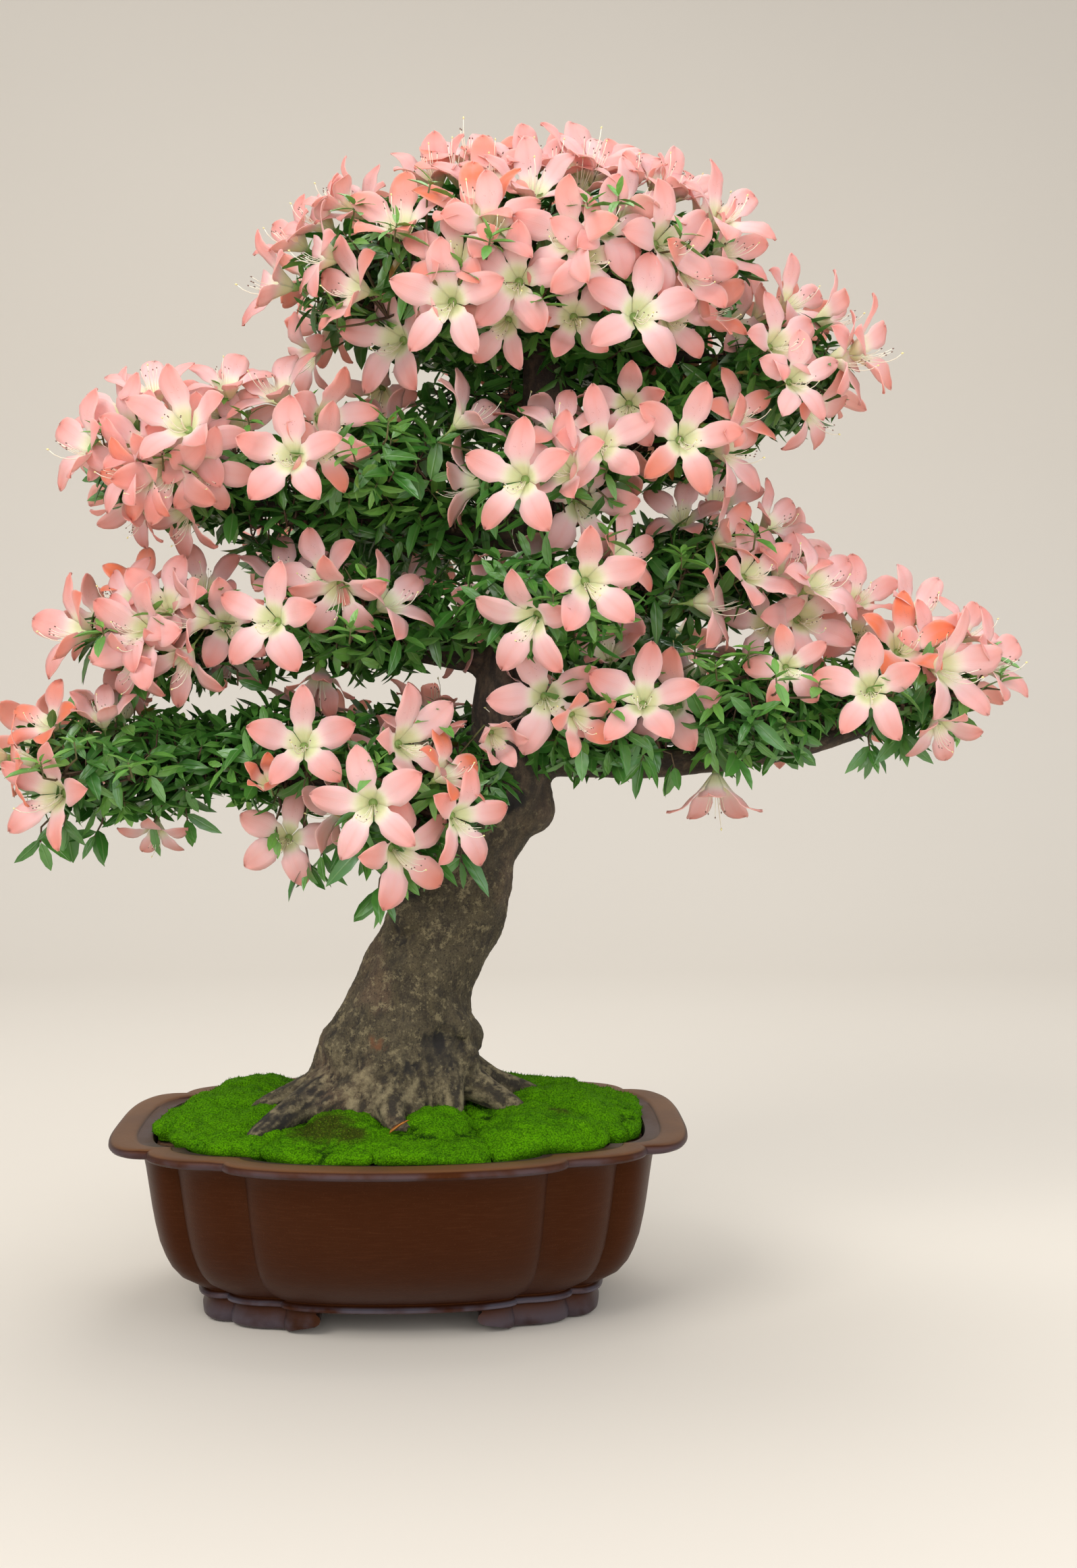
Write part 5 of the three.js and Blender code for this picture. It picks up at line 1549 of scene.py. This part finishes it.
def add_bloom(pile, bloom, radius, chance):
    """Adds one whole bloom in its place."""
    turn = np.array(upright_frame(bloom.axis)) @ np.array(Matrix.Rotation(math.radians(bloom.roll), 3, "Z"))
    opened = bloom.open * chance.uniform(0.70, 0.96) * (1 - 0.22 * min(1, max(0, bloom.axis.z) ** 2 * 2))
    scale = bloom.size * radius / (PETAL_LINE[-1][1] * MM)
    throat = np.array(bloom.throat)
    droop = chance.normal(-0.10, 0.12)
    for k in range(PETALS):
        around = math.pi / 2 + 2 * math.pi * k / PETALS + chance.normal(0, 0.07)
        bend, ruffle, wide = droop + chance.normal(0, 0.15), chance.uniform(0.2, 0.75), chance.uniform(0.82, 1.08)
        corners, blade = petal(around, opened, bend, ruffle, wide, chance)
        carried = {"tint": bloom.tint + chance.normal(0, 0.14), "upper": float(k == 0), "own": (1, 1, 1, 1)}
        pile.add(corners * scale @ turn.T + throat, PETAL_FACES, blade, **carried)
    for corners, faces, colour in (stamens(chance) if opened > BUD else []) + calyx():
        carried = {"tint": 0.0, "upper": 0.0, "own": (*colour, 1)}
        pile.add(corners * scale @ turn.T + throat, faces, look=1, **carried)


class AZALEA_OT_blooms(bpy.types.Operator):
    """Every bloom: one piece for each bloom of the frame, and one for the rest of each pad"""

    bl_idname = "azalea.blooms"
    bl_label = "Blooms"

    def execute(self, context):
        settings = context.scene.azalea
        by_node, by_pad = gather_blooms(settings.seed)
        looks = [petal_look(settings.bloom), stalk_look()]

        def bloom_piece(name, blooms, chance):
            pile = Pile()
            for bloom in blooms:
                add_bloom(pile, bloom, settings.bloom.radius, chance)
            return pile.piece(name)

        for number, (name, bloom) in enumerate(by_node.items()):
            piece = bloom_piece("bloom_" + name, [bloom], np.random.default_rng(settings.seed * 3 + number))
            settle(piece, "petals", "flower_" + name, looks=looks)
        for number, (name, blooms) in enumerate(by_pad.items()):
            piece = bloom_piece("blooms_" + name, blooms, np.random.default_rng(settings.seed * 5 + number))
            settle(piece, "petals", looks=looks)
        return {"FINISHED"}


# ---------------------------------------------------------------- stage
FLOOR_HALF_WIDE, FLOOR_STARTS, SWEEP_STARTS, SWEEP_RADIUS, WALL_TOP = 7, -6, 1.6, 1.2, 5
FLOOR_BELOW = 0.0006  # how far the floor lies below the soles of the pot's feet
# Lights: name, place, what it aims at, size, watts and colour.
LIGHTS = [
    ("window", (-1.5, -1.9, 2.3), (0, 0, 0.45), 1.5, 50, (1.0, 0.98, 0.95)),
    ("front", (0.1, -2.7, 0.9), (0, 0, 0.5), 1.4, 17, (1.0, 1.0, 1.0)),
    ("fill", (1.9, -1.6, 1.4), (0, 0, 0.45), 1.6, 18, (0.94, 0.97, 1.0)),
    ("top", (0.2, 0.5, 2.6), (0, 0, 0.4), 1.6, 30, (1.0, 1.0, 1.0)),
]
SKY, SKY_STRENGTH = (0.92, 0.95, 1.0, 1), 0.72
SENSOR = 36


def add_camera(scene):
    data = bpy.data.cameras.new("view")
    data.sensor_fit, data.sensor_width, data.sensor_height = "AUTO", SENSOR, SENSOR
    data.lens = SENSOR * FOCAL / FRAME_HIGH
    data.clip_start, data.clip_end = 0.05, 60
    camera = bpy.data.objects.new("view", data)
    scene.collection.objects.link(camera)
    right, up, forward = camera_turn()
    camera.matrix_world = Matrix.Translation(CAMERA_PLACE) @ Matrix((right, up, -forward)).transposed().to_4x4()
    scene.camera = camera


def add_floor():
    """A floor that sweeps up into a wall behind the tree."""
    sweep = [(FLOOR_STARTS, 0), (SWEEP_STARTS, 0)]
    for a in np.linspace(0.15, 1.57, 9):
        sweep.append((SWEEP_STARTS + SWEEP_RADIUS * math.sin(a), SWEEP_RADIUS - SWEEP_RADIUS * math.cos(a)))
    sweep.append((SWEEP_STARTS + SWEEP_RADIUS, WALL_TOP))
    corners = [(side * FLOOR_HALF_WIDE, y, z - FLOOR_BELOW) for y, z in sweep for side in (-1, 1)]
    faces = [(2 * i, 2 * i + 1, 2 * i + 3, 2 * i + 2) for i in range(len(sweep) - 1)]
    floor = piece_from("floor", corners, faces)
    look = Look("paper", roughness=0.85)
    tone = look.noise(look.object_place(), 1.5, 2)
    floor.data.materials.append(look.finish(look.mix(tone * 0.3, paint(214, 206, 194), paint(204, 195, 182))))


class AZALEA_OT_stage(bpy.types.Operator):
    """Camera, floor with a swept backdrop, and soft studio light"""

    bl_idname = "azalea.stage"
    bl_label = "Stage"

    def execute(self, context):
        add_camera(context.scene)
        add_floor()
        for name, place, aim, size, watts, colour in LIGHTS:
            light = bpy.data.lights.new(name, "AREA")
            light.shape, light.size, light.energy, light.color = "SQUARE", size, watts, colour
            lamp = bpy.data.objects.new(name, light)
            context.scene.collection.objects.link(lamp)
            lamp.location = place
            lamp.rotation_euler = (Vector(aim) - Vector(place)).to_track_quat("-Z", "Y").to_euler()
        world = bpy.data.worlds.new("studio")
        world.use_nodes = True
        sky = world.node_tree.nodes["Background"].inputs
        sky["Color"].default_value, sky["Strength"].default_value = SKY, SKY_STRENGTH
        context.scene.world = world
        context.scene.view_settings.view_transform = "Standard"
        return {"FINISHED"}


# ---------------------------------------------------------------- panel and order of work
OPERATORS = (
    AZALEA_OT_stage, AZALEA_OT_pot, AZALEA_OT_fillings, AZALEA_OT_moss, AZALEA_OT_fallen_leaf, AZALEA_OT_wood,
    AZALEA_OT_foliage, AZALEA_OT_blooms,
)


class AZALEA_PT_panel(bpy.types.Panel):
    """Sizes, colours and one button for each group of pieces"""

    bl_idname = "AZALEA_PT_panel"
    bl_label = "Satsuki azalea"
    bl_space_type = "VIEW_3D"
    bl_region_type = "UI"
    bl_category = "Azalea"

    def draw(self, context):
        for part in ("pot", "moss", "wood", "leaf", "bloom"):
            box = self.layout.box()
            settings = getattr(context.scene.azalea, part)
            for key in settings.__annotations__:
                box.prop(settings, key)
        for operator in OPERATORS:
            self.layout.operator(operator.bl_idname)


CLASSES = (
    PotSettings, MossSettings, WoodSettings, LeafSettings, BloomSettings, AzaleaSettings, *OPERATORS, AZALEA_PT_panel,
)


def register():
    for each in CLASSES:
        bpy.utils.register_class(each)
    bpy.types.Scene.azalea = PointerProperty(type=AzaleaSettings)


def unregister():
    del bpy.types.Scene.azalea
    for each in reversed(CLASSES):
        bpy.utils.unregister_class(each)


def main():
    register()
    for name in ("stage", "pot", "fillings", "moss", "fallen_leaf", "wood", "foliage", "blooms"):
        getattr(bpy.ops.azalea, name)()


if __name__ == "__main__":
    main()
